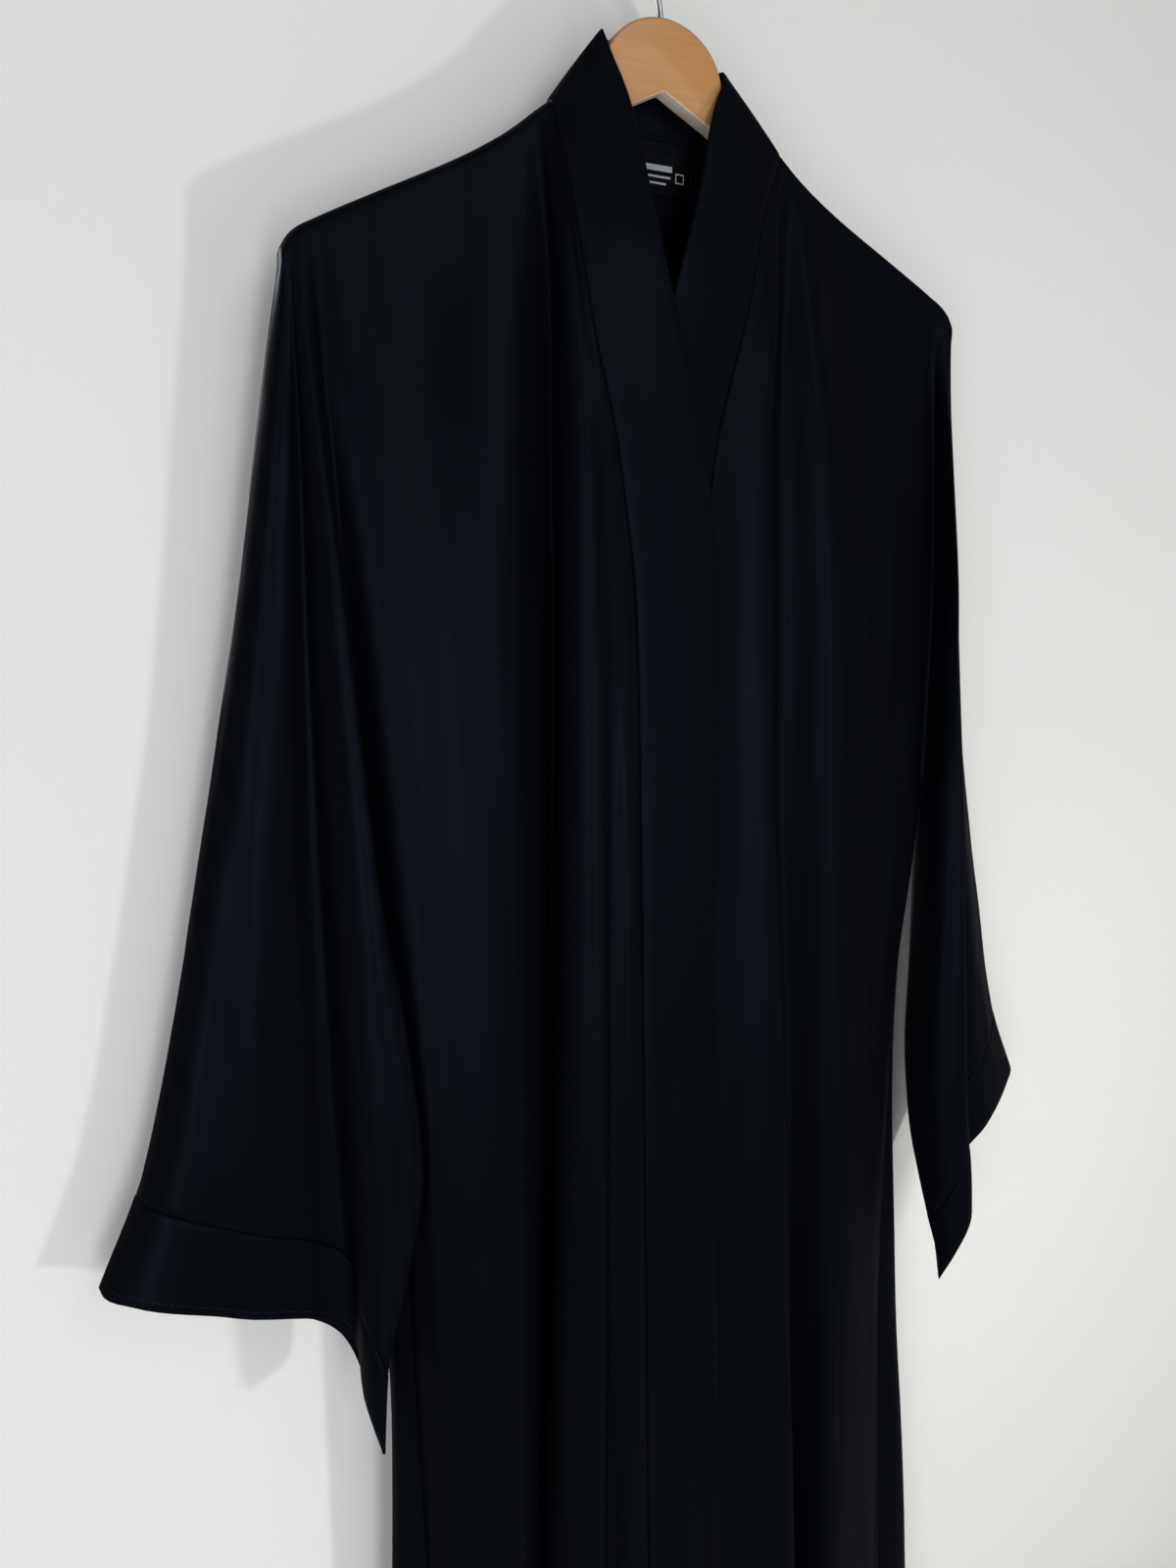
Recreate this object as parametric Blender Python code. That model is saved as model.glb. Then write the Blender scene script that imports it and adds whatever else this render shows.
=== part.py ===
"""Open-front abaya with sleeves cut in one with the body, hung on a flat wooden hanger.

Metres, +Z up, the front faces -Y and +X is the viewer's right. The origin is the inside top of the
hanger's hook, where it rests on a rail. The cloth tables are in millimetres: x and y across the garment,
and drop, the distance below the hook.
"""

import bisect
import math

import bmesh
import bpy
from mathutils import Vector
from mathutils.bvhtree import BVHTree

MM = 0.001

# Cloth
WALL = 1.6
BAND_WALL = 2.2
LABEL_WALL = 0.8
SEAM_GAP = 0.36
CROTCH_SHIFTS = ((0.9, -1.3), (-0.3, -1.1))
SHOULDER_HALF_DEPTH = 8.5
UNDERARM_DROP = 520
HEM_DROP = 1540
CUFF_DEPTH = 53
MEET_LENGTH = 180
NECK_LEFT = -70.5
NECK_RIGHT = 78.0
NECK_DIP = 3.5
NECK_TURN = 14.0

# Hanger
HANGER_DEPTH = 12.0
HANGER_EDGE_ROUND = 2.5
DOME_RADIUS = 38.9
DOME_CENTRE_DROP = 98.9
NOTCH_DROP = 101.0
ARM_HEIGHT = 18.5
CLOTH_TO_ARM = 2.6
BORE_RADIUS = 1.95
BORE_DEPTH = 18.0

# Hook
WIRE_RADIUS = 1.6
CROOK_INNER_RADIUS = 20.0
CROOK_START_ANGLE = 235
CROOK_END_ANGLE = -25

# Label
LABEL_WIDTH = 54.0
LABEL_TOP_DROP = 129.0
LABEL_BOTTOM_DROP = 152.0

# Shoulder line that the cloth takes over the hanger: half-width x, drop
SHOULDER = (
    (70.5, 116.7),
    (78, 122.3),
    (93, 134.0),
    (110, 145.0),
    (128, 155.0),
    (167, 174.3),
    (202, 192.0),
    (211, 197.0),
    (216, 201.5),
    (220.5, 209.0),
)

# Rows of the grids: first the turn over the hanger (drop below the shoulder line, share of the depth
# reached), then the rest by fraction.
TURN_ROWS = ((0.0, 0.0), (1.0, 0.56), (3.0, 0.9), (7.0, 1.0))
UPPER_ROWS = 9
SLEEVE_ROWS = 6
CUFF_ROWS = 3
BODY_ROWS = 15

# Each line below runs down the cloth: its x on the shoulder line, then x and y at each drop of its table.
# None stands for a drop above the place where the line starts.
BODY_DROPS = (160, 230, 300, 400, 520, 700, 900, 1100, 1300, 1540)
SLEEVE_DROPS = (230, 300, 400, 520, 620, 710, 775, 840, 900)

FRONT_LEFT_SLEEVE = (
    # line, steps to the next line, shoulder x, x at each drop, y at each drop, hem drop
    ("overarm", 1, -220.5, (-223.5, -236, -253, -277, -298, -321, -349, -375, -399),
     (0, 3, 7, 10, 11, 12, 12, 12, 12), 771),
    ("overarm turn", 1, -219.6, (-221.8, -233, -250, -274.5, -295.5, -318.5, -346, -372, -396),
     (-6, -4, 0, 3, 4, 5, 5, 5, 5), 773),
    ("overarm face", 2, -218.6, (-220, -229, -243, -265, -285, -307, -330, -350, -370),
     (-8.5, -9, -7, -5, -4, -4, -4, -4, -4), 780),
    ("outer face", 2, -217.4, (-218.3, -222.5, -231, -242, -252, -262, -274, -280, -290),
     (-8.8, -11, -13, -14, -15, -16, -17, -17, -17), 808),
    ("groove", 2, -216, (-216.5, -216, -216.5, -215.5, -213.5, -211, -208.5, -207.5, -208),
     (-8.8, -9, -8, -6, -5, -5, -6, -7, -9), 836),
    ("roll crest", 2, -212.5, (-212.5, -209.5, -202.5, -193.5, -185, -178, -187, -201, -204.5),
     (-11.5, -26, -38, -42, -44, -46, -46, -45, -42), 868),
    ("roll inner edge", 2, -209.5, (-208.5, -205, -199, -192, -180, -172.5, -183, -198, -202),
     (-11, -22, -32, -34, -42, -44, -44, -44, -42), 885),
    ("underarm seam", 0, -206, (-204.5, -200.5, -196, -190.5, -184, -175, -183.5, -196.5, -201),
     (-9, -11, -12, -11, -29, -35, -38, -40, -41), 893),
)

FRONT_LEFT_BODY = (
    # line, steps to the next line, shoulder x, x at each drop, y at each drop
    ("side seam", 1, -206, (None, -204.5, -200.5, -196, -190.5, -176, -171, -166, -170, -185),
     (None, -9, -11, -12, -11, -10, -11, -12, -12, -12)),
    ("panel start", 3, -198, (None, -195.5, -190, -184, -176, -164, -159, -153, -157, -170),
     (None, -10, -16, -19, -18, -24, -26, -27, -27, -28)),
    ("panel crest", 3, -158, (None, -155, -150, -146, -143, -139, -137, -136, -139, -147),
     (None, -11, -20, -31, -37, -41, -42, -43, -44, -46)),
    ("panel shoulder", 3, -88, (-88, -98, -104, -109, -111.5, -111.5, -112, -113, -117, -124),
     (-10.5, -19, -28, -36, -39, -41, -42, -43, -44, -46)),
    ("deep groove", 3, -79, (-76.5, -73, -73.5, -72.5, -73, -76, -80.5, -86, -90, -95),
     (-10, -12, -12, -11, -9, -8, -7, -6, -5, -4)),
    ("ridge", 2, -74, (-71.5, -70, -66.5, -61.5, -59.5, -56.5, -57, -58, -61, -64),
     (-19, -34, -42, -46, -47, -48, -48, -49, -50, -52)),
    ("small groove", 1, -72.8, (-70.4, -66, -57, -52, -49.5, -47.5, -47, -46, -47, -48),
     (-21, -35, -42, -43, -40.5, -37, -36, -35, -34, -33)),
    ("small ridge", 1, -71.6, (-69.4, -63.5, -51.5, -43, -39, -36.5, -35, -34, -34, -35),
     (-23, -37, -42, -43, -44, -43.5, -44, -44, -45, -46)),
    ("band seam", 0, -70.5, (-68.4, -61.5, -46.5, -33.5, -29.5, -25, -20.5, -16.5, -14, -12),
     (-24, -37.5, -41, -41, -40.5, -40, -40, -40, -41, -42)),
)

FRONT_RIGHT_SLEEVE = (
    # line, steps to the next line, shoulder x, x at each drop, y at each drop, hem drop
    ("overarm", 1, 220.5, (223, 232, 247, 268, 291, 313, 342, 370, 396),
     (0, 3, 7, 9, 10, 10, 10, 10, 10), 767),
    ("overarm turn", 1, 219.6, (221.4, 229.5, 244.4, 265.4, 288.4, 310.4, 339, 367, 393),
     (-6, -4, 0, 2, 3, 3, 3, 3, 3), 769),
    ("overarm face", 2, 218.6, (219.6, 226, 238, 257, 278, 299, 324, 347, 370),
     (-8.5, -10, -8, -6, -6, -6, -6, -6, -6), 776),
    ("outer face", 2, 217, (217.5, 220.5, 229, 243, 258, 272, 288, 300, 310),
     (-9, -14, -19, -20, -19, -18, -18, -18, -18), 800),
    ("outer groove", 2, 214.8, (214.8, 216.5, 221, 233, 245, 255, 264, 272, 280),
     (-9.5, -15, -19, -19, -18, -16, -15, -16, -18), 826),
    ("roll crest", 2, 212, (210.5, 207, 210.5, 222, 233, 242, 249, 260, 266),
     (-13, -30, -40, -41, -41, -41, -41, -40, -37), 860),
    ("roll wall", 2, 209.6, (208, 206, 209, 215.5, 221.5, 224.5, 230, 242, 252),
     (-11, -21, -27, -26, -25, -26, -29, -34, -36), 890),
    ("underarm seam", 0, 206, (206, 208.5, 213, 214, 219.5, 218.5, 221.5, 232, 245),
     (-9, -11, -12, -10, -2.5, -3, -8, -17, -28), 915),
)

FRONT_RIGHT_BODY = (
    # line, steps to the next line, shoulder x, x at each drop, y at each drop
    ("side seam", 1, 206, (None, 206, 208.5, 213, 214, 200, 202, 214, 228, 246),
     (None, -9, -11, -12, -10, -9, -8, -8, -8, -8)),
    ("side panel", 2, 192, (None, 190, 191, 193, 197, 189, 191, 200, 213, 231),
     (None, -10, -15, -17, -18, -17, -17, -17, -17, -17)),
    ("outer panel", 2, 165, (None, 163, 164, 166, 168, 170, 175, 183, 192, 206),
     (None, -10.5, -19, -25, -26, -26, -26, -27, -28, -29)),
    ("faint ridge", 2, 134, (None, 131, 132, 136, 140, 149, 155, 162, 171, 184),
     (None, -13, -26, -33, -35, -35, -35, -36, -37, -39)),
    ("ridge", 3, 96, (93, 92, 97.5, 108, 114.5, 128, 132, 139, 147, 158),
     (-13, -28, -36, -39, -40, -40.5, -41, -42, -43, -45)),
    ("valley", 2, 84, (79, 75.5, 77, 81, 85, 98, 109, 119, 127, 137),
     (-12, -19, -19, -18, -17, -16, -15, -14, -13, -11)),
    ("valley wall", 1, 80.5, (73.4, 67.5, 63.5, 67, 72, 85, 98, 110, 117, 125),
     (-16, -27, -28, -27, -26, -25, -24, -23, -22, -21)),
    ("fold edge", 2, 79.6, (70.5, 62, 55.5, 60, 65, 78, 91, 103, 110, 118),
     (-19, -34, -41, -43, -45, -46, -46, -46, -47, -49)),
    ("fold panel", 2, 78.8, (65.5, 50, 38, 36, 40, 48, 57, 66, 70, 75),
     (-20, -35, -38, -39, -40, -41, -41, -41, -42, -44)),
    ("band seam", 0, 78, (61.5, 40, 21.4, 11, 13, 18, 23.5, 29, 31, 33),
     (-20, -34, -35, -35.3, -35, -34.5, -34.5, -34.5, -35.5, -36.5)),
)

BACK_LEFT_VALLEY = (
    "underarm line", 1, -206, (None, -204.5, -200.5, -196, -190.5, None, None, None, None, None),
    (None, 9, 9.5, 7, -11, None, None, None, None, None),
)

BACK_RIGHT_VALLEY = (
    "underarm line", 1, 206, (None, 206, 208.5, 213, 214, None, None, None, None, None),
    (None, 9, 9.5, 7, -10, None, None, None, None, None),
)

BACK_LEFT_SLEEVE = (
    # line, steps to the next line, shoulder x, x at each drop, y at each drop, hem drop
    ("overarm turn", 1, -219.6, (-221.8, -233, -250, -274.5, -295.5, -318.5, -346, -372, -396),
     (6, 9, 13, 16, 17, 18, 18, 18, 18), 773),
    ("overarm face", 2, -218.6, (-220, -227, -240, -261, -280, -300, -322, -340, -360),
     (8.5, 13, 18, 21, 20, 20, 20, 19, 19), 783),
    ("outer fold", 3, -217, (-217.5, -219, -226, -236, -245, -252, -258, -262, -266),
     (9, 14, 19, 20, 17, 15, 14, 12, 9), 815),
    ("back groove", 3, -213, (-213, -212.5, -212, -212, -216, -215, -214.5, -214, -216),
     (9.3, 13, 15, 10, 5, 5, 5, 5, 3), 850),
    ("inner turn", 2, -209, (-208.8, -207, -204.5, -200.5, -197.5, -192, -194.5, -199, -200.5),
     (9.2, 12.5, 11, -1, -17, -19, -17, -12, -14), 878),
)

BACK_RIGHT_SLEEVE = (
    # line, steps to the next line, shoulder x, x at each drop, y at each drop, hem drop
    ("overarm turn", 1, 219.6, (221.4, 229.5, 244.4, 265.4, 288.4, 310.4, 339, 367, 393),
     (6, 9, 13, 15, 17, 17, 17, 17, 17), 769),
    ("overarm face", 2, 218.6, (219.6, 226, 238, 257, 277, 297, 320, 340, 360),
     (8.5, 13, 18, 20, 21, 21, 20, 19, 18), 778),
    ("outer fold", 3, 217, (217.5, 220, 228, 241, 256, 268, 280, 290, 300),
     (9, 14, 19, 20, 22, 22, 20, 16, 12), 800),
    ("back groove", 3, 213, (213, 215.5, 222, 230, 239, 246, 252, 262, 270),
     (9.3, 13, 16, 15, 15, 15, 12, 6, 0), 845),
    ("inner turn", 2, 209, (209, 211.5, 217, 222, 227, 229, 232, 243, 254),
     (9.2, 12.5, 12, 4, 7, 7, 3, -5, -17), 888),
)

# The back wraps the side a little: these lines turn the body's side from the side seam to the back.
BACK_LEFT_SIDE = (
    # line, steps to the next line, shoulder x, x at each drop, y at each drop
    ("side turn", 1, -204.6, (None, -202.5, -197, -191, -187.5, -187.5, -182.5, -183, -194, -214),
     (None, 9.2, 11, 11, -4, -3, -6, -6, -7, -7)),
    ("side fold", 1, -202.5, (None, -200, -193, -186.5, -184.5, -190, -184, -190.5, -204, -226),
     (None, 9.8, 13, 15, 4, 4, 3, 3, 3, 2)),
    ("back turn", 2, -198, (None, -196, -187, -179, -178.5, -184, -178.5, -184, -197, -219),
     (None, 10.5, 16, 19, 13, 14, 13, 13, 13, 13)),
)

BACK_RIGHT_SIDE = (
    # line, steps to the next line, shoulder x, x at each drop, y at each drop
    ("side turn", 1, 204.6, (None, 204, 205, 208, 211, 206, 218, 240, 257, 280),
     (None, 9.2, 11, 11, -3, -4, -6, -6, -6, -6)),
    ("side fold", 1, 202.5, (None, 201.5, 201.5, 203.5, 208, 208, 222.5, 243.5, 264, 291),
     (None, 9.8, 13, 15, 5, 2, 1, 1, 1, 1)),
    ("back turn", 1, 198, (None, 197, 196, 196.5, 202, 203.5, 217, 238, 258, 285),
     (None, 10.5, 16, 19, 14, 12, 12, 12, 12, 12)),
)

# Folds of the back, from the left turn to the right one
BACK_FOLDS = (
    # steps to the next line, x at the shoulder; at the hem, share of the back's width and how far it stands out
    (3, -166.3, 0.06, 3),
    (3, -138.6, 0.13, -7),
    (3, -110.9, 0.20, 6),
    (3, -87.1, 0.26, -12),
    (2, NECK_LEFT, 0.32, 5),
    (2, -39.6, 0.39, 3),
    (2, -15.8, 0.46, -7),
    (2, 5.9, 0.53, 4),
    (2, 29.7, 0.59, -2),
    (2, 53.5, 0.65, 5),
    (3, NECK_RIGHT, 0.71, -11),
    (3, 97.0, 0.77, 7),
    (3, 118.8, 0.83, -4),
    (3, 144.5, 0.885, 6),
    (2, 170.3, 0.94, -3),
)
BACK_DROPS = (110, 160, 230, 300, 400, 520, 700, 1000, 1540)
BACK_DEPTH = (8.5, 9.5, 12.5, 16, 20, 22, 23, 24, 26)
BACK_FOLD_SHARE = (0.0, 0.04, 0.18, 0.33, 0.5, 0.62, 0.75, 0.9, 1.0)

# Free edge of the neckband down each front: drop of the seam beside it, then x, y and drop of the edge
FREE_EDGE_LEFT = (
    (116.7, -37, -1.5, 74.5),
    (124, -35.8, -8.5, 87),
    (133, -31, -11.5, 99),
    (146, -25.4, -16, 118),
    (160, -22.6, -22, 139),
    (177, -20.3, -28.5, 162),
    (200, -17.6, -38, 192),
    (228, -11.6, -42, 221.5),
    (286, 4.1, -45, 283),
    (327, 12.1, -45.5, 325.6),
    (357, 15.2, -45.5, 357),
    (500, 19.3, -45, 500),
    (700, 25, -44.5, 700),
    (900, 32.5, -44.5, 900),
    (1100, 40, -44.5, 1100),
    (1540, 46, -45, 1540),
)
FREE_EDGE_RIGHT = (
    (122.3, 40.5, -1.5, 83.5),
    (130, 38, -7.5, 91),
    (139, 32.8, -9.5, 101),
    (152, 25.2, -15, 118),
    (172, 19.2, -20, 139),
    (185, 13, -24, 160),
    (203, 0.5, -31, 191.5),
    (231, -9.5, -34.5, 221),
    (290, -25, -35.5, 283),
    (330, -32, -35.8, 326),
    (360, -35, -35.8, 358),
    (500, -35, -35.5, 500),
    (700, -30, -35, 700),
    (900, -24.5, -35, 900),
    (1100, -19, -35, 1100),
    (1540, -15, -36, 1540),
)
# The same edge round the back of the neck: x of the seam, then x, y and drop of the edge
FREE_EDGE_BACK = (
    (-70.5, -37, -1.5, 74.5),
    (-62, -35, 7, 74),
    (-48, -27, 11.5, 73.5),
    (-28, -16, 13.2, 73.5),
    (0, 0, 13.8, 74.5),
    (30, 18, 13.2, 76.5),
    (50, 29, 11.5, 79),
    (66, 37.5, 7, 82),
    (78, 40.5, -1.5, 83.5),
)


def clear_scene():
    for obj in list(bpy.data.objects):
        bpy.data.objects.remove(obj, do_unlink=True)


def material(name, colour, roughness, metallic=0.0):
    made = bpy.data.materials.new(name)
    made.use_nodes = True
    shader = made.node_tree.nodes["Principled BSDF"]
    shader.inputs["Base Color"].default_value = (*colour, 1.0)
    shader.inputs["Roughness"].default_value = roughness
    shader.inputs["Metallic"].default_value = metallic
    return made


def slopes_of(xs, ys):
    """Slopes of the monotone cubic through the points."""
    steps = [xs[i + 1] - xs[i] for i in range(len(xs) - 1)]
    rises = [(ys[i + 1] - ys[i]) / steps[i] for i in range(len(steps))]
    slopes = [rises[0]]
    for i in range(1, len(rises)):
        if rises[i - 1] * rises[i] <= 0:
            slopes.append(0.0)
            continue
        before = 2 * steps[i] + steps[i - 1]
        after = steps[i] + 2 * steps[i - 1]
        slopes.append((before + after) / (before / rises[i - 1] + after / rises[i]))
    slopes.append(rises[-1])
    return slopes


def smooth(xs, ys, x):
    """Value at x of the monotone cubic through (xs, ys), flat past both ends."""
    if x <= xs[0]:
        return ys[0]
    if x >= xs[-1]:
        return ys[-1]
    slopes = slopes_of(xs, ys)
    i = bisect.bisect_right(xs, x) - 1
    step = xs[i + 1] - xs[i]
    t = (x - xs[i]) / step
    first = (1 + 2 * t) * (1 - t) ** 2 * ys[i] + t * (1 - t) ** 2 * step * slopes[i]
    last = t * t * (3 - 2 * t) * ys[i + 1] + t * t * (t - 1) * step * slopes[i + 1]
    return first + last


def shoulder_drop(x):
    """Drop of the shoulder line at x."""
    return smooth([row[0] for row in SHOULDER], [row[1] for row in SHOULDER], abs(x))


def top_drop(x):
    """Drop of the top edge of the back at x: the shoulder line, or the neckline between the shoulders."""
    if x <= NECK_LEFT or x >= NECK_RIGHT:
        return shoulder_drop(x)
    share = (x - NECK_LEFT) / (NECK_RIGHT - NECK_LEFT)
    left = shoulder_drop(NECK_LEFT)
    level = left + (shoulder_drop(NECK_RIGHT) - left) * share
    return level + NECK_DIP * math.sin(math.pi * share)


def neck_share(x):
    """0 on the shoulders, rising to 1 along the back neckline."""
    inside = min(x - NECK_LEFT, NECK_RIGHT - x) / NECK_TURN
    inside = min(1.0, max(0.0, inside))
    return inside * inside * (3 - 2 * inside)


def turn_point(index, x, depth):
    """Point at x on one of the rows that turn over the hanger."""
    down, share = TURN_ROWS[index]
    share += (1 - share) * neck_share(x)
    return Vector((x, depth * share, -top_drop(x) - down))


class Line:
    """One line down the cloth: x and y against drop, from its place on the shoulder line."""

    def __init__(self, drops, row, depth):
        self.steps = row[1]
        self.top_x = row[2]
        self.depth = depth
        self.hem = row[5] if len(row) > 5 else HEM_DROP
        self.top = top_drop(self.top_x)
        start = self.top + TURN_ROWS[-1][0]
        self.drops = [start]
        self.xs = [self.top_x]
        self.ys = [depth]
        for drop, x, y in zip(drops, row[3], row[4]):
            if x is not None and drop > start + 8:
                self.drops.append(drop)
                self.xs.append(x)
                self.ys.append(y)

    def at(self, drop):
        return Vector((smooth(self.drops, self.xs, drop), smooth(self.drops, self.ys, drop), -drop))

    def upper(self, index):
        """Point on one of the upper rows, which turn over the hanger and run down to the underarm."""
        if index < len(TURN_ROWS):
            return turn_point(index, self.top_x, self.depth)
        fraction = (index - len(TURN_ROWS) + 1) / UPPER_ROWS
        return self.at(self.drops[0] + (UNDERARM_DROP - self.drops[0]) * fraction ** 1.15)


def back_fold_line(row, left, right):
    """A fold line of the back, between the turns of its two sides."""
    steps, top_x, share_hem, stand = row
    share_top = (top_x - left.top_x) / (right.top_x - left.top_x)
    xs = []
    ys = []
    for drop in BODY_DROPS:
        share = share_top + (share_hem - share_top) * drop / HEM_DROP
        start = left.at(drop)
        end = right.at(drop)
        depth = smooth(BACK_DROPS, BACK_DEPTH, drop) + smooth(BACK_DROPS, BACK_FOLD_SHARE, drop) * stand
        level = start.y + (end.y - start.y) * share
        edge = min(1.0, 1.6 * math.sin(math.pi * share))
        xs.append(start.x + (end.x - start.x) * share)
        ys.append(level + (depth - level) * edge)
    return Line(BODY_DROPS, (None, steps, top_x, xs, ys), SHOULDER_HALF_DEPTH)


def across(points, steps):
    """Smooth curve through the points, with the given number of steps after each one."""
    gaps = [max((points[i + 1] - points[i]).length, 1e-4) for i in range(len(points) - 1)]
    rises = [(points[i + 1] - points[i]) / gaps[i] for i in range(len(gaps))]
    slopes = [rises[0]]
    for i in range(1, len(rises)):
        weight = gaps[i] / (gaps[i - 1] + gaps[i])
        slopes.append(rises[i - 1] * weight + rises[i] * (1 - weight))
    slopes.append(rises[-1])
    curve = []
    for i, gap in enumerate(gaps):
        for step in range(steps[i]):
            t = step / steps[i]
            curve.append(
                points[i] * (1 + 2 * t) * (1 - t) ** 2
                + slopes[i] * gap * t * (1 - t) ** 2
                + points[i + 1] * t * t * (3 - 2 * t)
                + slopes[i + 1] * gap * t * t * (t - 1)
            )
    curve.append(points[-1].copy())
    return curve


def steps_of(lines):
    return [line.steps for line in lines[:-1]]


def rows_between(lines, steps, starts, ends, count):
    """Rows of a block that runs from one drop to another on every line."""
    rows = []
    for index in range(count + 1):
        share = index / count
        points = [line.at(a + (b - a) * share) for line, a, b in zip(lines, starts, ends)]
        rows.append(across(points, steps))
    return rows


def sleeve_rows(lines):
    """Rows of the sleeve from the underarm to the cuff seam, and of the cuff from there to its hem."""
    underarm = [UNDERARM_DROP] * len(lines)
    seam = [line.hem - CUFF_DEPTH for line in lines]
    hem = [line.hem for line in lines]
    steps = steps_of(lines)
    arm = rows_between(lines, steps, underarm, seam, SLEEVE_ROWS)
    return arm, rows_between(lines, steps, seam, hem, CUFF_ROWS)


def body_rows(lines, steps):
    return rows_between(lines, steps, [UNDERARM_DROP] * len(lines), [HEM_DROP] * len(lines), BODY_ROWS)


def settle(row, index):
    """Puts a row that turns over the hanger back on its own height, and on its depth round the neck."""
    for point in row:
        point.z = -top_drop(point.x) - TURN_ROWS[index][0]
        if NECK_LEFT < point.x < NECK_RIGHT:
            point.y = turn_point(index, point.x, SHOULDER_HALF_DEPTH).y


def upper_rows(lines, steps):
    """Rows from the shoulder line to the underarm; the row on the shoulder line follows it exactly."""
    rows = []
    for index in range(len(TURN_ROWS) + UPPER_ROWS):
        row = across([line.upper(index) for line in lines], steps)
        if index < len(TURN_ROWS):
            settle(row, index)
        rows.append(row)
    return rows


def front_rows(sleeve_table, body_table):
    """Rows of one front, from the overarm inwards: upper part, arm, cuff and trunk."""
    edge = Line(SLEEVE_DROPS, sleeve_table[0], 0)
    sleeve = [edge] + [Line(SLEEVE_DROPS, row, -SHOULDER_HALF_DEPTH) for row in sleeve_table[1:]]
    body = [Line(BODY_DROPS, row, -SHOULDER_HALF_DEPTH) for row in body_table]
    upper = upper_rows(sleeve[:-1] + body, steps_of(sleeve[:-1] + body))
    arm, cuff = sleeve_rows(sleeve)
    trunk = body_rows(body, steps_of(body))
    split = sum(steps_of(sleeve))
    arm[0] = upper[-1][: split + 1]
    trunk[0] = upper[-1][split:]
    return {"upper": upper, "arm": arm, "cuff": cuff, "trunk": trunk, "split": split}


def back_sleeve(edge_row, rows, inner):
    """Lines of one sleeve's back, from the overarm inwards, ending on the given inner line."""
    edge = Line(SLEEVE_DROPS, edge_row, 0)
    return [edge] + [Line(SLEEVE_DROPS, row, SHOULDER_HALF_DEPTH) for row in rows] + [inner]


def back_rows(fronts):
    """Rows of the back, from the left overarm to the right one, meeting the fronts on their seams."""
    depth = SHOULDER_HALF_DEPTH
    sides = []
    for sleeve_front, sleeve_back, valley, side, body in (
        (FRONT_LEFT_SLEEVE, BACK_LEFT_SLEEVE, BACK_LEFT_VALLEY, BACK_LEFT_SIDE, FRONT_LEFT_BODY),
        (FRONT_RIGHT_SLEEVE, BACK_RIGHT_SLEEVE, BACK_RIGHT_VALLEY, BACK_RIGHT_SIDE, FRONT_RIGHT_BODY),
    ):
        turns = [Line(BODY_DROPS, row, depth) for row in side]
        sides.append(
            {
                "upper": back_sleeve(sleeve_front[0], sleeve_back, Line(BODY_DROPS, valley, depth)) + turns,
                "arm": back_sleeve(sleeve_front[0], sleeve_back, Line(SLEEVE_DROPS, sleeve_front[-1], depth)),
                "trunk": [Line(BODY_DROPS, body[0], depth)] + turns,
            }
        )
    left, right = sides
    folds = [back_fold_line(row, left["trunk"][-1], right["trunk"][-1]) for row in BACK_FOLDS]
    blocks = {}
    for name in ("upper", "trunk"):
        lines = left[name] + folds + right[name][::-1]
        steps = steps_of(left[name] + folds + folds[-1:]) + steps_of(right[name])[::-1]
        blocks[name] = upper_rows(lines, steps) if name == "upper" else body_rows(lines, steps)
    meet_fronts(blocks["upper"], fronts)
    split = fronts[0]["split"]
    arms = []
    for index, side in enumerate(sides):
        arm, cuff = sleeve_rows(side["arm"])
        line = blocks["upper"][-1]
        arm[0] = line[: split + 1] if index == 0 else line[::-1][: split + 1]
        arms.append({"arm": arm, "cuff": cuff})
    blocks["trunk"][0] = blocks["upper"][-1][split : len(blocks["upper"][-1]) - split]
    return blocks, arms


def meet_fronts(rows, fronts):
    """Moves the upper rows of the back sideways, so that its shoulder points are those of the fronts."""
    count = len(rows[0])
    tops = [point.copy() for point in rows[0]]
    wanted = list(tops)
    for index, point in enumerate(fronts[0]["upper"][0]):
        wanted[index] = point
    for index, point in enumerate(fronts[1]["upper"][0]):
        wanted[count - 1 - index] = point
    for number, row in enumerate(rows):
        for index, point in enumerate(row):
            below = tops[index].z - point.z
            share = max(0.0, 1 - below / MEET_LENGTH) ** 2
            point.x += (wanted[index].x - tops[index].x) * share
        if number < len(TURN_ROWS):
            settle(row, number)
    for index in range(count):
        rows[0][index] = wanted[index].copy()


def neckband_rows(fronts, back):
    """Rows of the neckband: seam, middle and free edge, from the left hem round the neck to the right hem."""
    left, right = fronts
    rows = []
    for front, table, block in ((left, FREE_EDGE_LEFT, "left"), (right, FREE_EDGE_RIGHT, "right")):
        seam = [row[-1] for row in front["upper"]] + [row[-1] for row in front["trunk"][1:]]
        side = [(point, free_edge(table, -point.z)) for point in seam]
        rows.append(side)
    first = len(left["upper"][0]) - 1
    last = len(back["upper"][0]) - len(right["upper"][0])
    nape = [(point, free_edge(FREE_EDGE_BACK, point.x)) for point in back["upper"][0][first + 1 : last]]
    pairs = rows[0][::-1] + nape + rows[1]
    return [[seam, seam.lerp(free, 0.5), free] for seam, free in pairs]


def free_edge(table, key):
    """Point of the neckband's free edge for a place on its seam."""
    keys = [row[0] for row in table]
    x, y, drop = (smooth(keys, [row[column] for row in table], key) for column in (1, 2, 3))
    return Vector((x, y, -drop))


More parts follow.
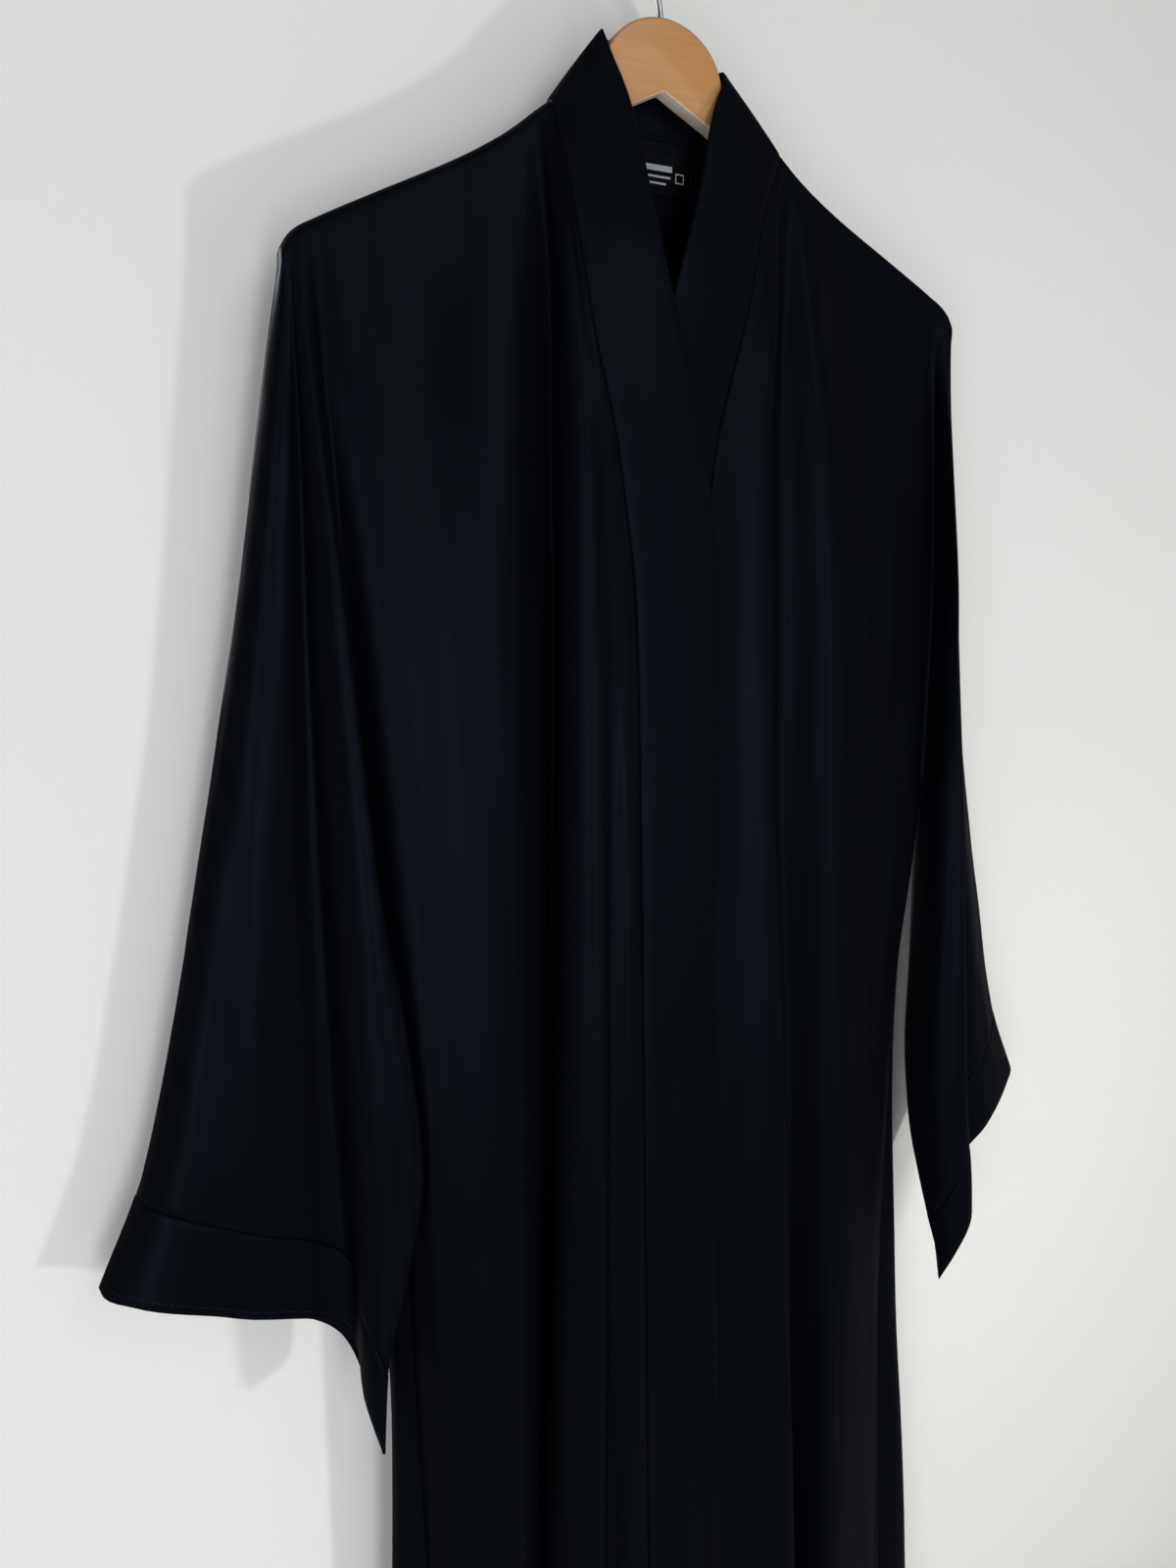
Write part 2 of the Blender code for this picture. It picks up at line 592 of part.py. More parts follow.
class Cloth:
    """Every cut piece as quads on one shared set of points, so that neighbours agree along their seams."""

    def __init__(self):
        self.points = []
        self.index = {}
        self.pieces = {}

    def number(self, point):
        key = tuple(round(value * 2000) for value in point)
        if key not in self.index:
            self.index[key] = len(self.points)
            self.points.append(point.copy())
        return self.index[key]

    def add(self, name, rows, flip):
        quads = self.pieces.setdefault(name, [])
        numbers = [[self.number(point) for point in row] for row in rows]
        for upper, lower in zip(numbers, numbers[1:]):
            for i in range(len(upper) - 1):
                quad = [upper[i], lower[i], lower[i + 1], upper[i + 1]]
                quads.append(quad[::-1] if flip else quad)

    def halves(self, quad):
        """The two triangles of a quad, split on its shorter diagonal, so that both sides of a wall match."""
        a, b, c, d = quad
        if (self.points[a] - self.points[c]).length <= (self.points[b] - self.points[d]).length:
            return (a, b, c), (a, c, d)
        return (b, c, d), (b, d, a)

    def normals(self):
        found = [Vector() for _ in self.points]
        for quads in self.pieces.values():
            for quad in quads:
                a, b, c, d = (self.points[i] for i in quad)
                normal = (c - a).cross(d - b).normalized()
                for i in quad:
                    found[i] += normal
        return [normal.normalized() for normal in found]

    def edges(self, name):
        """The outer edges of a piece, each with the quad that it belongs to."""
        seen = {}
        for quad in self.pieces[name]:
            for i in range(4):
                a, b = quad[i], quad[(i + 1) % 4]
                if (b, a) in seen:
                    del seen[(b, a)]
                else:
                    seen[(a, b)] = quad
        return seen

    def seam_shifts(self, name, others):
        """How far each seam point of a piece moves into the piece, to leave the seam's gap."""
        inward = {}
        for (a, b), quad in self.edges(name).items():
            if (min(a, b), max(a, b)) not in others:
                continue
            along = (self.points[b] - self.points[a]).normalized()
            middle = sum((self.points[i] for i in quad), Vector()) / 4 - self.points[a]
            into = (middle - along * middle.dot(along)).normalized()
            inward.setdefault(a, []).append(into)
            inward.setdefault(b, []).append(into)
        shifts = {}
        for i, ways in inward.items():
            if len(ways) == 1:
                shifts[i] = ways[0] * (SEAM_GAP / 2)
            else:
                shifts[i] = (ways[0] + ways[1]) * (SEAM_GAP / 2 / max(0.5, 1 + ways[0].dot(ways[1])))
        return shifts

    def build(self, name, wall, finish, crotches=()):
        """Makes the closed solid of one piece."""
        others = set()
        for other in self.pieces:
            if other != name:
                others |= {(min(a, b), max(a, b)) for a, b in self.edges(other)}
        shifts = self.seam_shifts(name, others)
        normals = self.normals()
        for place, shift in crotches:
            i = self.number(place)
            normals[i] = shift.normalized()
            shifts[i] = shift
        used = sorted({i for quad in self.pieces[name] for i in quad})
        count = len(used)
        local = {i: k for k, i in enumerate(used)}
        middle = [self.points[i] + shifts.get(i, Vector()) for i in used]
        outer = [point + normals[i] * (wall / 2) for point, i in zip(middle, used)]
        inner = [point - normals[i] * (wall / 2) for point, i in zip(middle, used)]
        faces = []
        for quad in self.pieces[name]:
            for triangle in self.halves(quad):
                out = [local[i] for i in triangle]
                faces.append(out)
                faces.append([i + count for i in reversed(out)])
        for start, end in self.edges(name):
            a, b = local[start], local[end]
            if start < end:
                faces += [[b, a, b + count], [a, a + count, b + count]]
            else:
                faces += [[b, a, a + count], [b, a + count, b + count]]
        return solid(name, outer + inner, faces, finish)


def solid(name, points, faces, finish):
    """An object from points in millimetres."""
    mesh = bpy.data.meshes.new(name)
    mesh.from_pydata([tuple(point * MM) for point in points], [], faces)
    mesh.materials.append(finish)
    mesh.update()
    made = bpy.data.objects.new(name, mesh)
    bpy.context.scene.collection.objects.link(made)
    for face in mesh.polygons:
        face.use_smooth = True
    return made


def hanger_outline():
    """Outline of the hanger in x and drop, clockwise from the top of its dome."""
    right = []
    for step in range(10):
        angle = math.radians(90 - step * 10)
        right.append((DOME_RADIUS * math.cos(angle), DOME_CENTRE_DROP - DOME_RADIUS * math.sin(angle)))
    right += [(41.5, 102.5), (46.0, 108.5), (52.0, 115.5), (57.0, 120.5)]
    right += [(62.0, 124.0), (70.5, 125.6), (78.0, 127.6)]
    tops = [86.0, 100.0, 120.0, 140.0, 160.0, 180.0, 200.0, 208.0]
    right += [(x, shoulder_drop(x) + CLOTH_TO_ARM) for x in tops]
    right += [(212.5, 201.2), (215.5, 205.6), (216.6, 210.5), (214.8, 215.0), (209.0, 216.6)]
    unders = [200.0, 180.0, 160.0, 140.0, 120.0, 100.0, 85.0, 70.5]
    right += [(x, shoulder_drop(x) + CLOTH_TO_ARM + ARM_HEIGHT) for x in unders]
    right += [(50.0, 126.5), (30.0, 115.6), (12.0, 106.9)]
    left = [(-x, drop) for x, drop in right[:0:-1]]
    return right + [(0.0, NOTCH_DROP)] + left


def build_hanger(finish):
    outline = hanger_outline()
    half = HANGER_DEPTH / 2
    rings = ((-half, HANGER_EDGE_ROUND), (-half + 0.75, 0.75), (-half + HANGER_EDGE_ROUND, 0.0))
    rings += tuple((-y, inset) for y, inset in reversed(rings))
    count = len(outline)
    inward = []
    for i in range(count):
        before = Vector(outline[i - 1])
        here = Vector(outline[i])
        after = Vector(outline[(i + 1) % count])
        one = (here - before).normalized()
        two = (after - here).normalized()
        side = Vector((-one.y, one.x)) + Vector((-two.y, two.x))
        inward.append(side / (1 + one.dot(two)))
    points = []
    for y, inset in rings:
        for (x, drop), way in zip(outline, inward):
            points.append(Vector((x + way.x * inset, y, -(drop + way.y * inset))))
    faces = []
    for ring in range(len(rings) - 1):
        for i in range(count):
            j = (i + 1) % count
            a, b = ring * count, (ring + 1) * count
            faces.append([a + j, a + i, b + i, b + j])
    faces.append(list(range(count)))
    faces.append([i + (len(rings) - 1) * count for i in reversed(range(count))])
    body = solid("hanger_body", points, faces, finish)
    bore = tube("bore_cutter", [Vector((0, 0, -60 - BORE_DEPTH)), Vector((0, 0, -40))], BORE_RADIUS, finish, 16)
    bore.hide_render = True
    bore.display_type = "WIRE"
    cut = body.modifiers.new("bore", "BOOLEAN")
    cut.operation = "DIFFERENCE"
    cut.solver = "EXACT"
    cut.object = bore
    return body


def tube(name, path, radius, finish, sides, tip=False):
    """A round bar along a path that lies in the XZ plane, with a rounded tip where asked."""
    spots = [(point, radius) for point in path]
    if tip:
        ahead = (path[-1] - path[-2]).normalized()
        for angle in (30, 60, 80):
            reach = radius * math.sin(math.radians(angle))
            spots.append((path[-1] + ahead * reach, radius * math.cos(math.radians(angle))))
    rings = []
    for i, (place, size) in enumerate(spots):
        before = spots[max(i - 1, 0)][0]
        after = spots[min(i + 1, len(spots) - 1)][0]
        along = (after - before).normalized()
        side = Vector((0, 1, 0)).cross(along)
        ring = []
        for k in range(sides):
            turn = math.tau * k / sides
            ring.append(place + (side * math.cos(turn) + Vector((0, 1, 0)) * math.sin(turn)) * size)
        rings.append(ring)
    points = [point for ring in rings for point in ring]
    faces = []
    for r in range(len(rings) - 1):
        for k in range(sides):
            n = (k + 1) % sides
            faces.append([r * sides + n, (r + 1) * sides + n, (r + 1) * sides + k, r * sides + k])
    faces.append(list(reversed(range(sides))))
    faces.append([i + (len(rings) - 1) * sides for i in range(sides)])
    return solid(name, points, faces, finish)


def hook_path():
    """Centre line of the hook: up from the bore, out to the left and over the top to its tip."""
    radius = CROOK_INNER_RADIUS + WIRE_RADIUS
    centre = Vector((0, 0, -CROOK_INNER_RADIUS))
    start = math.radians(CROOK_START_ANGLE)
    join = centre + Vector((math.cos(start), 0, math.sin(start))) * radius
    heading = Vector((math.sin(start), 0, -math.cos(start)))
    stem = Vector((0, 0, -62))
    bends = (stem, Vector((-0.6, 0, -50)), join - heading * 9, join)
    path = [Vector((0, 0, -60 - BORE_DEPTH + 1)), Vector((0, 0, -66))]
    for step in range(8):
        t = step / 8
        weights = ((1 - t) ** 3, 3 * t * (1 - t) ** 2, 3 * t * t * (1 - t), t ** 3)
        path.append(sum((point * weight for point, weight in zip(bends, weights)), Vector()))
    turns = 30
    for step in range(turns + 1):
        angle = math.radians(CROOK_START_ANGLE + (CROOK_END_ANGLE - CROOK_START_ANGLE) * step / turns)
        path.append(centre + Vector((math.cos(angle), 0, math.sin(angle))) * radius)
    return path


def build_label(back, finish):
    """A plain woven label on the inside of the back, just under the neckband."""
    surface = BVHTree.FromObject(back, bpy.context.evaluated_depsgraph_get())
    columns, rows = 6, 3
    behind, before = [], []
    for row in range(rows + 1):
        drop = LABEL_TOP_DROP + (LABEL_BOTTOM_DROP - LABEL_TOP_DROP) * row / rows
        for column in range(columns + 1):
            x = LABEL_WIDTH * (column / columns - 0.5)
            hit = surface.ray_cast(Vector((x, 0, -drop)) * MM, Vector((0, 1, 0)))[0]
            y = hit.y / MM - SEAM_GAP
            behind.append(Vector((x, y, -drop)))
            before.append(Vector((x, y - LABEL_WALL, -drop)))
    count = len(behind)
    width = columns + 1
    faces = []
    for row in range(rows):
        for column in range(columns):
            a = row * width + column
            quad = [a, a + width, a + width + 1, a + 1]
            faces.append(quad)
            faces.append([i + count for i in reversed(quad)])
    edge = [c for c in range(columns)] + [r * width + columns for r in range(rows)]
    edge += [rows * width + c for c in range(columns, 0, -1)] + [r * width for r in range(rows, 0, -1)]
    for a, b in zip(edge, edge[1:] + edge[:1]):
        faces.append([a, b, b + count, a + count])
    return solid("neck_label", before + behind, faces, finish)


def main():
    clear_scene()
    crepe = material("black crepe", (0.010, 0.011, 0.016), 0.62)
    woven = material("black label", (0.012, 0.012, 0.014), 0.75)
    beech = material("pale beech", (0.62, 0.38, 0.19), 0.45)
    steel = material("steel wire", (0.62, 0.63, 0.65), 0.3, 1.0)

    fronts = [front_rows(FRONT_LEFT_SLEEVE, FRONT_LEFT_BODY), front_rows(FRONT_RIGHT_SLEEVE, FRONT_RIGHT_BODY)]
    back, back_arms = back_rows(fronts)
    cloth = Cloth()
    for side, front, arms in zip(("left", "right"), fronts, back_arms):
        mirrored = side == "right"
        for block in ("upper", "arm", "trunk"):
            cloth.add("front_" + side, front[block], mirrored)
        cloth.add("back", arms["arm"], not mirrored)
        cloth.add("cuff_" + side, front["cuff"], mirrored)
        cloth.add("cuff_" + side, arms["cuff"], not mirrored)
    cloth.add("back", back["upper"], True)
    cloth.add("back", back["trunk"], True)
    cloth.add("neckband", neckband_rows(fronts, back), True)

    crotches = []
    for side, front, (x, y) in zip(("left", "right"), fronts, CROTCH_SHIFTS):
        place = front["upper"][-1][front["split"]]
        shift = Vector((x, y, 0))
        crotches.append((place, -shift))
        cloth.build("front_" + side, WALL, crepe, ((place, shift),))
        cloth.build("cuff_" + side, WALL, crepe)
    back_solid = cloth.build("back", WALL, crepe, crotches)
    cloth.build("neckband", BAND_WALL, crepe)
    bpy.context.view_layer.update()
    build_label(back_solid, woven)
    build_hanger(beech)
    tube("hanger_hook", hook_path(), WIRE_RADIUS, steel, 10, tip=True)


if __name__ == "__main__":
    main()
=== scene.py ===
"""Open-front abaya with sleeves cut in one with the body, on a flat beech hanger, with the stage round it.

Run as a script in Blender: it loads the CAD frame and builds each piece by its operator.
The CAD frame is in metres, +Z up, the front faces -Y, and the origin is the inside top of the hanger's hook.
The cloth tables are in millimetres: x and y across the garment, and drop, the distance below the hook.
"""

import bisect
import math
from functools import lru_cache, partial

import bpy
from mathutils import Matrix, Vector, noise
from mathutils.bvhtree import BVHTree


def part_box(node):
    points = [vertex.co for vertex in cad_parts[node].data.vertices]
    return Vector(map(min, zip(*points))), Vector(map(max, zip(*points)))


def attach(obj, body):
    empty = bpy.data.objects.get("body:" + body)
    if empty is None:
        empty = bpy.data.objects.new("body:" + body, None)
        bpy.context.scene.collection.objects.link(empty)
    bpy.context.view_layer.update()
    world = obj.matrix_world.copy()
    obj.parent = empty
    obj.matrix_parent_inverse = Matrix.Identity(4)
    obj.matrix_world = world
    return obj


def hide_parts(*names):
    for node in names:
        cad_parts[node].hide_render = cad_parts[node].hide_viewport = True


bl_info = {
    "name": "Abaya on a hanger",
    "version": (1, 0, 0),
    "blender": (4, 5, 0),
    "location": "View3D > Sidebar > Abaya",
    "description": "Builds a black open-front abaya on a wooden hanger, piece by piece",
    "category": "Object",
}

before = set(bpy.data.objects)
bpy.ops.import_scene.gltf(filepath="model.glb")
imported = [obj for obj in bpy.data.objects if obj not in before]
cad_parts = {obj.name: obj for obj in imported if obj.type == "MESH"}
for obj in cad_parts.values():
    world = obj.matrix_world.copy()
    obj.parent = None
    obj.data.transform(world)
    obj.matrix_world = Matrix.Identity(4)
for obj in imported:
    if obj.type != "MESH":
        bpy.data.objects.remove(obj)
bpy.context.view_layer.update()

MM = 0.001

# Cloth, as in the CAD
SHOULDER_HALF_DEPTH = 8.5
UNDERARM_DROP = 520
HEM_DROP = 1540
CUFF_DEPTH = 53
MEET_LENGTH = 180
NECK_LEFT = -70.5
NECK_RIGHT = 78.0
NECK_DIP = 3.5
NECK_TURN = 14.0
# How the cloth turns over the hanger: distance below the shoulder line, and share of the half-depth there
TURN = ((1.0, 0.56), (3.0, 0.9), (7.0, 1.0))
# How far below the turn a line of the tables takes its first place
FIRST_PLACE_GAP = 8

# Grid of the dressed cloth, finer than the CAD's
FINE = 4
# Points that fall on the same step of this grid count as one
STEPS_PER_MM = 2000
TURN_DOWNS = (0.0, 0.15, 0.4, 1.0, 1.6, 2.3, 3.0, 4.2, 5.5, 7.0)
UPPER_ROWS = 48
UPPER_ROW_SPREAD = 1.15
ARM_ROWS = 32
CUFF_ROWS = 10
TRUNK_ROWS = 90
BAND_COLUMNS = 8
# Distance of the extra row or column beside a seam, and the most of a column's width that it may take
SEAM_SIDE = 1.5
SEAM_SIDE_LIMIT = 0.6
# Distances of the extra rows before a folded edge
HEM_TAIL = (1.0, 0.35)
# Rows from the ones close to a folded edge to its stitches
HEM_LINES = 2
CUFF_LINES = 1
# Share of the wall that is left on the last two rows before a folded edge
EDGE_WALL_SHARES = (0.75, 0.3)

# Wall behind the cloth, in metres: its middle, and how far from there the paint fades away
WALL_MIDDLE_DROP = 0.65
WALL_FADE_START = 0.7
WALL_FADE_END = 1.09

# Shoulder line that the cloth takes over the hanger: half-width x, drop
SHOULDER = (
    (70.5, 116.7),
    (78, 122.3),
    (93, 134.0),
    (110, 145.0),
    (128, 155.0),
    (167, 174.3),
    (202, 192.0),
    (211, 197.0),
    (216, 201.5),
    (220.5, 209.0),
)

# Each line below runs down the cloth: its x on the shoulder line, then x and y at each drop of its table.
# None stands for a drop above the place where the line starts.
BODY_DROPS = (160, 230, 300, 400, 520, 700, 900, 1100, 1300, 1540)
SLEEVE_DROPS = (230, 300, 400, 520, 620, 710, 775, 840, 900)

FRONT_LEFT_SLEEVE = (
    # line, steps to the next line, shoulder x, x at each drop, y at each drop, hem drop
    ("overarm", 1, -220.5, (-223.5, -236, -253, -277, -298, -321, -349, -375, -399),
     (0, 3, 7, 10, 11, 12, 12, 12, 12), 771),
    ("overarm turn", 1, -219.6, (-221.8, -233, -250, -274.5, -295.5, -318.5, -346, -372, -396),
     (-6, -4, 0, 3, 4, 5, 5, 5, 5), 773),
    ("overarm face", 2, -218.6, (-220, -229, -243, -265, -285, -307, -330, -350, -370),
     (-8.5, -9, -8, -7, -7, -7, -7, -7, -7), 776),
    ("outer face", 2, -217.4, (-218.3, -222.5, -231, -242, -252, -262, -274, -280, -290),
     (-8.8, -10.5, -11, -10.5, -10, -9.5, -9.5, -10, -10), 798),
    ("groove", 1, -216, (-216.5, -216, -216.5, -215.5, -213.5, -211, -208.5, -207.5, -208),
     (-8.8, -9, -8, -6, -5, -5, -6, -7, -9), 836),
    ("roll side", 1, -214.4, (-215.5, -215, -214.8, -213.5, -211.5, -209, -207.8, -208, -208),
     (-10.3, -18, -25, -26, -27, -28, -29, -30, -30), 860),
    ("roll crest", 2, -212.5, (-212.5, -209.5, -202.5, -193.5, -185, -178, -187, -201, -204.5),
     (-11.5, -26, -38, -42, -44, -46, -46, -45, -42), 882),
    ("roll inner edge", 2, -209.5, (-208.5, -205, -199, -192, -180, -172.5, -183, -198, -202),
     (-11, -22, -32, -34, -42, -44, -44, -44, -42), 891),
    ("underarm seam", 0, -206, (-204.5, -200.5, -196, -190.5, -184, -175, -183.5, -196.5, -201),
     (-9, -11, -12, -11, -29, -35, -38, -40, -41), 893),
)

FRONT_LEFT_BODY = (
    # line, steps to the next line, shoulder x, x at each drop, y at each drop
    ("side seam", 1, -206, (None, -204.5, -200.5, -196, -190.5, -176, -171, -166, -170, -185),
     (None, -9, -11, -12, -11, -10, -11, -12, -12, -12)),
    ("panel start", 3, -198, (None, -195.5, -190, -184.5, -177.5, -167, -161, -154, -158, -171),
     (None, -10, -16, -22, -26, -33, -32, -31, -30, -30)),
    ("panel crest", 3, -158, (None, -155, -150, -146, -143, -139, -137, -136, -139, -147),
     (None, -11, -20, -31, -37, -41, -42, -43, -44, -46)),
    ("panel shoulder", 3, -88, (-88, -98, -104, -109, -111.5, -111.5, -112, -113, -117, -124),
     (-10.5, -19, -28, -36, -39, -41, -42, -43, -44, -46)),
    ("deep groove", 2, -79, (-76.5, -73, -73.5, -72.5, -73, -76, -80.5, -86, -90, -95),
     (-10, -12, -12, -11, -9, -8, -7, -6, -5, -4)),
    ("ridge side", 2, -76, (-75, -74.8, -75.5, -76.2, -77.3, -79.5, -84.5, -90, -94.5, -100),
     (-15, -23, -29, -31.5, -31, -30.5, -30.5, -31, -32, -33)),
    ("ridge", 2, -74, (-71.5, -70, -66.5, -61.5, -59.5, -56.5, -57, -58, -61, -64),
     (-19, -34, -42, -46, -47, -48, -48, -49, -50, -52)),
    ("small groove", 1, -72.8, (-70.4, -66, -57, -52, -49.5, -47.5, -47, -46, -47, -48),
     (-21, -35, -42, -43, -40.5, -37, -36, -35, -34, -33)),
    ("small ridge", 1, -71.6, (-69.4, -63.5, -51.5, -43, -39, -36.5, -35, -34, -34, -35),
     (-23, -37, -42, -43, -44, -43.5, -44, -44, -45, -46)),
    ("band seam", 0, -70.5, (-68.4, -61.5, -46.5, -33.5, -29.5, -25, -20.5, -16.5, -14, -12),
     (-24, -37.5, -41, -41, -40.5, -40, -40, -40, -41, -42)),
)

FRONT_RIGHT_SLEEVE = (
    # line, steps to the next line, shoulder x, x at each drop, y at each drop, hem drop
    ("overarm", 1, 220.5, (223, 232, 247, 268, 291, 313, 342, 370, 396),
     (0, 3, 7, 9, 10, 10, 10, 10, 10), 767),
    ("overarm turn", 1, 219.6, (221.4, 229.5, 244.4, 265.4, 288.4, 310.4, 339, 367, 393),
     (-6, -4, 0, 2, 3, 3, 3, 3, 3), 769),
    ("overarm face", 2, 218.6, (219.6, 226, 238, 257, 278, 299, 324, 347, 370),
     (-8.5, -10, -8, -6, -6, -6, -6, -6, -6), 776),
    ("outer face", 2, 217, (217.5, 220.5, 229, 243, 258, 272, 288, 300, 310),
     (-9, -14, -19, -20, -19, -18, -18, -18, -18), 800),
    ("outer groove", 2, 214.8, (214.8, 216.5, 221, 233, 245, 255, 264, 272, 280),
     (-9.5, -15, -19, -19, -18, -16, -15, -16, -18), 826),
    ("roll crest", 2, 212, (210.5, 207, 210.5, 222, 233, 242, 249, 260, 266),
     (-13, -30, -40, -41, -41, -41, -41, -40, -37), 860),
    ("roll wall", 2, 209.6, (208, 206, 209, 215.5, 221.5, 224.5, 230, 242, 252),
     (-11.5, -24, -33, -34, -34, -34, -35, -36.5, -37), 890),
    ("underarm seam", 0, 206, (206, 208.5, 213, 214, 219.5, 218.5, 221.5, 232, 245),
     (-9, -11, -12, -10, -2.5, -3, -8, -17, -28), 915),
)

FRONT_RIGHT_BODY = (
    # line, steps to the next line, shoulder x, x at each drop, y at each drop
    ("side seam", 1, 206, (None, 206, 208.5, 213, 214, 200, 202, 214, 228, 246),
     (None, -9, -11, -12, -10, -9, -8, -8, -8, -8)),
    ("side panel", 2, 192, (None, 190, 191, 193, 197, 189, 191, 200, 213, 231),
     (None, -10, -15, -17, -18, -17, -17, -17, -17, -17)),
    ("outer panel", 2, 165, (None, 163, 164, 166, 168, 170, 175, 183, 192, 206),
     (None, -10.5, -19, -25, -26, -26, -26, -27, -28, -29)),
    ("faint ridge", 2, 134, (None, 131, 132, 136, 140, 149, 155, 162, 171, 184),
     (None, -13, -26, -33, -35, -35, -35, -36, -37, -39)),
    ("ridge", 3, 96, (93, 92, 97.5, 108, 114.5, 128, 132, 139, 147, 158),
     (-13, -28, -36, -39, -40, -40.5, -41, -42, -43, -45)),
    ("valley", 2, 84, (79, 75.5, 77, 81, 85, 98, 109, 119, 127, 137),
     (-12, -19, -19, -18, -17, -16, -15, -14, -13, -11)),
    ("valley wall", 1, 80.5, (73.4, 67.5, 63.5, 67, 72, 85, 98, 110, 117, 125),
     (-16, -27, -28, -27, -26, -25, -24, -23, -22, -21)),
    ("fold edge", 2, 79.6, (70.5, 62, 55.5, 60, 65, 78, 91, 103, 110, 118),
     (-19, -34, -41, -43, -45, -46, -46, -46, -47, -49)),
    ("fold panel", 2, 78.8, (65.5, 50, 38, 36, 40, 48, 57, 66, 70, 75),
     (-20, -35, -38, -39, -40, -41, -41, -41, -42, -44)),
    ("band seam", 0, 78, (61.5, 40, 21.4, 11, 13, 18, 23.5, 29, 31, 33),
     (-20, -34, -35, -35.3, -35, -34.5, -34.5, -34.5, -35.5, -36.5)),
)

BACK_LEFT_VALLEY = (
    "underarm line", 1, -206, (None, -204.5, -200.5, -196, -190.5, None, None, None, None, None),
    (None, 9, 9.5, 7, -11, None, None, None, None, None),
)

BACK_RIGHT_VALLEY = (
    "underarm line", 1, 206, (None, 206, 208.5, 213, 214, None, None, None, None, None),
    (None, 9, 9.5, 7, -10, None, None, None, None, None),
)

BACK_LEFT_SLEEVE = (
    # line, steps to the next line, shoulder x, x at each drop, y at each drop, hem drop
    ("overarm turn", 1, -219.6, (-221.8, -233, -250, -274.5, -295.5, -318.5, -346, -372, -396),
     (6, 9, 13, 16, 17, 18, 18, 18, 18), 773),
    ("overarm face", 2, -218.6, (-220, -227, -240, -261, -280, -300, -322, -340, -360),
     (8.5, 13, 18, 21, 20, 20, 20, 19, 19), 783),
    ("outer fold", 3, -217, (-217.5, -219, -226, -236, -245, -252, -258, -262, -266),
     (9, 14, 19, 20, 17, 15, 14, 12, 9), 812),
    ("back groove", 3, -213, (-213, -212.5, -212, -212, -216, -215, -214.5, -214, -216),
     (9.3, 13, 15, 10, 5, 5, 5, 5, 3), 837),
    ("inner turn", 2, -209, (-208.8, -207, -204.5, -200.5, -197.5, -192, -194.5, -199, -200.5),
     (9.2, 12.5, 11, -1, -17, -19, -17, -12, -14), 878),
)

BACK_RIGHT_SLEEVE = (
    # line, steps to the next line, shoulder x, x at each drop, y at each drop, hem drop
    ("overarm turn", 1, 219.6, (221.4, 229.5, 244.4, 265.4, 288.4, 310.4, 339, 367, 393),
     (6, 9, 13, 15, 17, 17, 17, 17, 17), 769),
    ("overarm face", 2, 218.6, (219.6, 226, 238, 257, 277, 297, 320, 340, 360),
     (8.5, 13, 18, 20, 21, 21, 20, 19, 18), 778),
    ("outer fold", 3, 217, (217.5, 220, 228, 241, 256, 268, 280, 290, 300),
     (9, 14, 19, 20, 22, 22, 20, 16, 12), 800),
    ("back groove", 3, 213, (213, 215.5, 222, 230, 239, 246, 252, 262, 270),
     (9.3, 13, 16, 15, 15, 15, 12, 6, 0), 845),
    ("inner turn", 2, 209, (209, 211.5, 217, 222, 227, 229, 232, 243, 254),
     (9.2, 12.5, 12, 4, 7, 7, 3, -5, -17), 888),
)

# The back wraps the side a little: these lines turn the body's side from the side seam to the back.
BACK_LEFT_SIDE = (
    # line, steps to the next line, shoulder x, x at each drop, y at each drop
    ("side turn", 1, -204.6, (None, -202.5, -197, -191, -187.5, -187.5, -182.5, -183, -194, -214),
     (None, 9.2, 11, 11, -4, -3, -6, -6, -7, -7)),
    ("side fold", 1, -202.5, (None, -200, -193, -186.5, -184.5, -190, -184, -190.5, -204, -226),
     (None, 9.8, 13, 15, 4, 4, 3, 3, 3, 2)),
    ("back turn", 2, -198, (None, -196, -187, -179, -178.5, -184, -178.5, -184, -197, -219),
     (None, 10.5, 16, 19, 13, 14, 13, 13, 13, 13)),
)

BACK_RIGHT_SIDE = (
    # line, steps to the next line, shoulder x, x at each drop, y at each drop
    ("side turn", 1, 204.6, (None, 204, 205, 208, 211, 206, 218, 240, 257, 280),
     (None, 9.2, 11, 11, -3, -4, -6, -6, -6, -6)),
    ("side fold", 1, 202.5, (None, 201.5, 201.5, 203.5, 208, 208, 222.5, 243.5, 264, 291),
     (None, 9.8, 13, 15, 5, 2, 1, 1, 1, 1)),
    ("back turn", 1, 198, (None, 197, 196, 196.5, 202, 203.5, 217, 238, 258, 285),
     (None, 10.5, 16, 19, 14, 12, 12, 12, 12, 12)),
)

# Folds of the back, from the left turn to the right one
BACK_FOLDS = (
    # steps to the next line, x at the shoulder; at the hem, share of the back's width and height of the fold
    (3, -166.3, 0.06, 3),
    (3, -138.6, 0.13, -7),
    (3, -110.9, 0.20, 6),
    (3, -87.1, 0.26, -12),
    (2, NECK_LEFT, 0.32, 5),
    (2, -39.6, 0.39, 3),
    (2, -15.8, 0.46, -7),
    (2, 5.9, 0.53, 4),
    (2, 29.7, 0.59, -2),
    (2, 53.5, 0.65, 5),
    (3, NECK_RIGHT, 0.71, -11),
    (3, 97.0, 0.77, 7),
    (3, 118.8, 0.83, -4),
    (3, 144.5, 0.885, 6),
    (2, 170.3, 0.94, -3),
)
BACK_DROPS = (110, 160, 230, 300, 400, 520, 700, 1000, 1540)
BACK_DEPTH = (8.5, 9.5, 12.5, 16, 20, 22, 23, 24, 26)
BACK_FOLD_SHARE = (0.0, 0.04, 0.18, 0.33, 0.5, 0.62, 0.75, 0.9, 1.0)
BACK_EDGE_RISE = 1.6

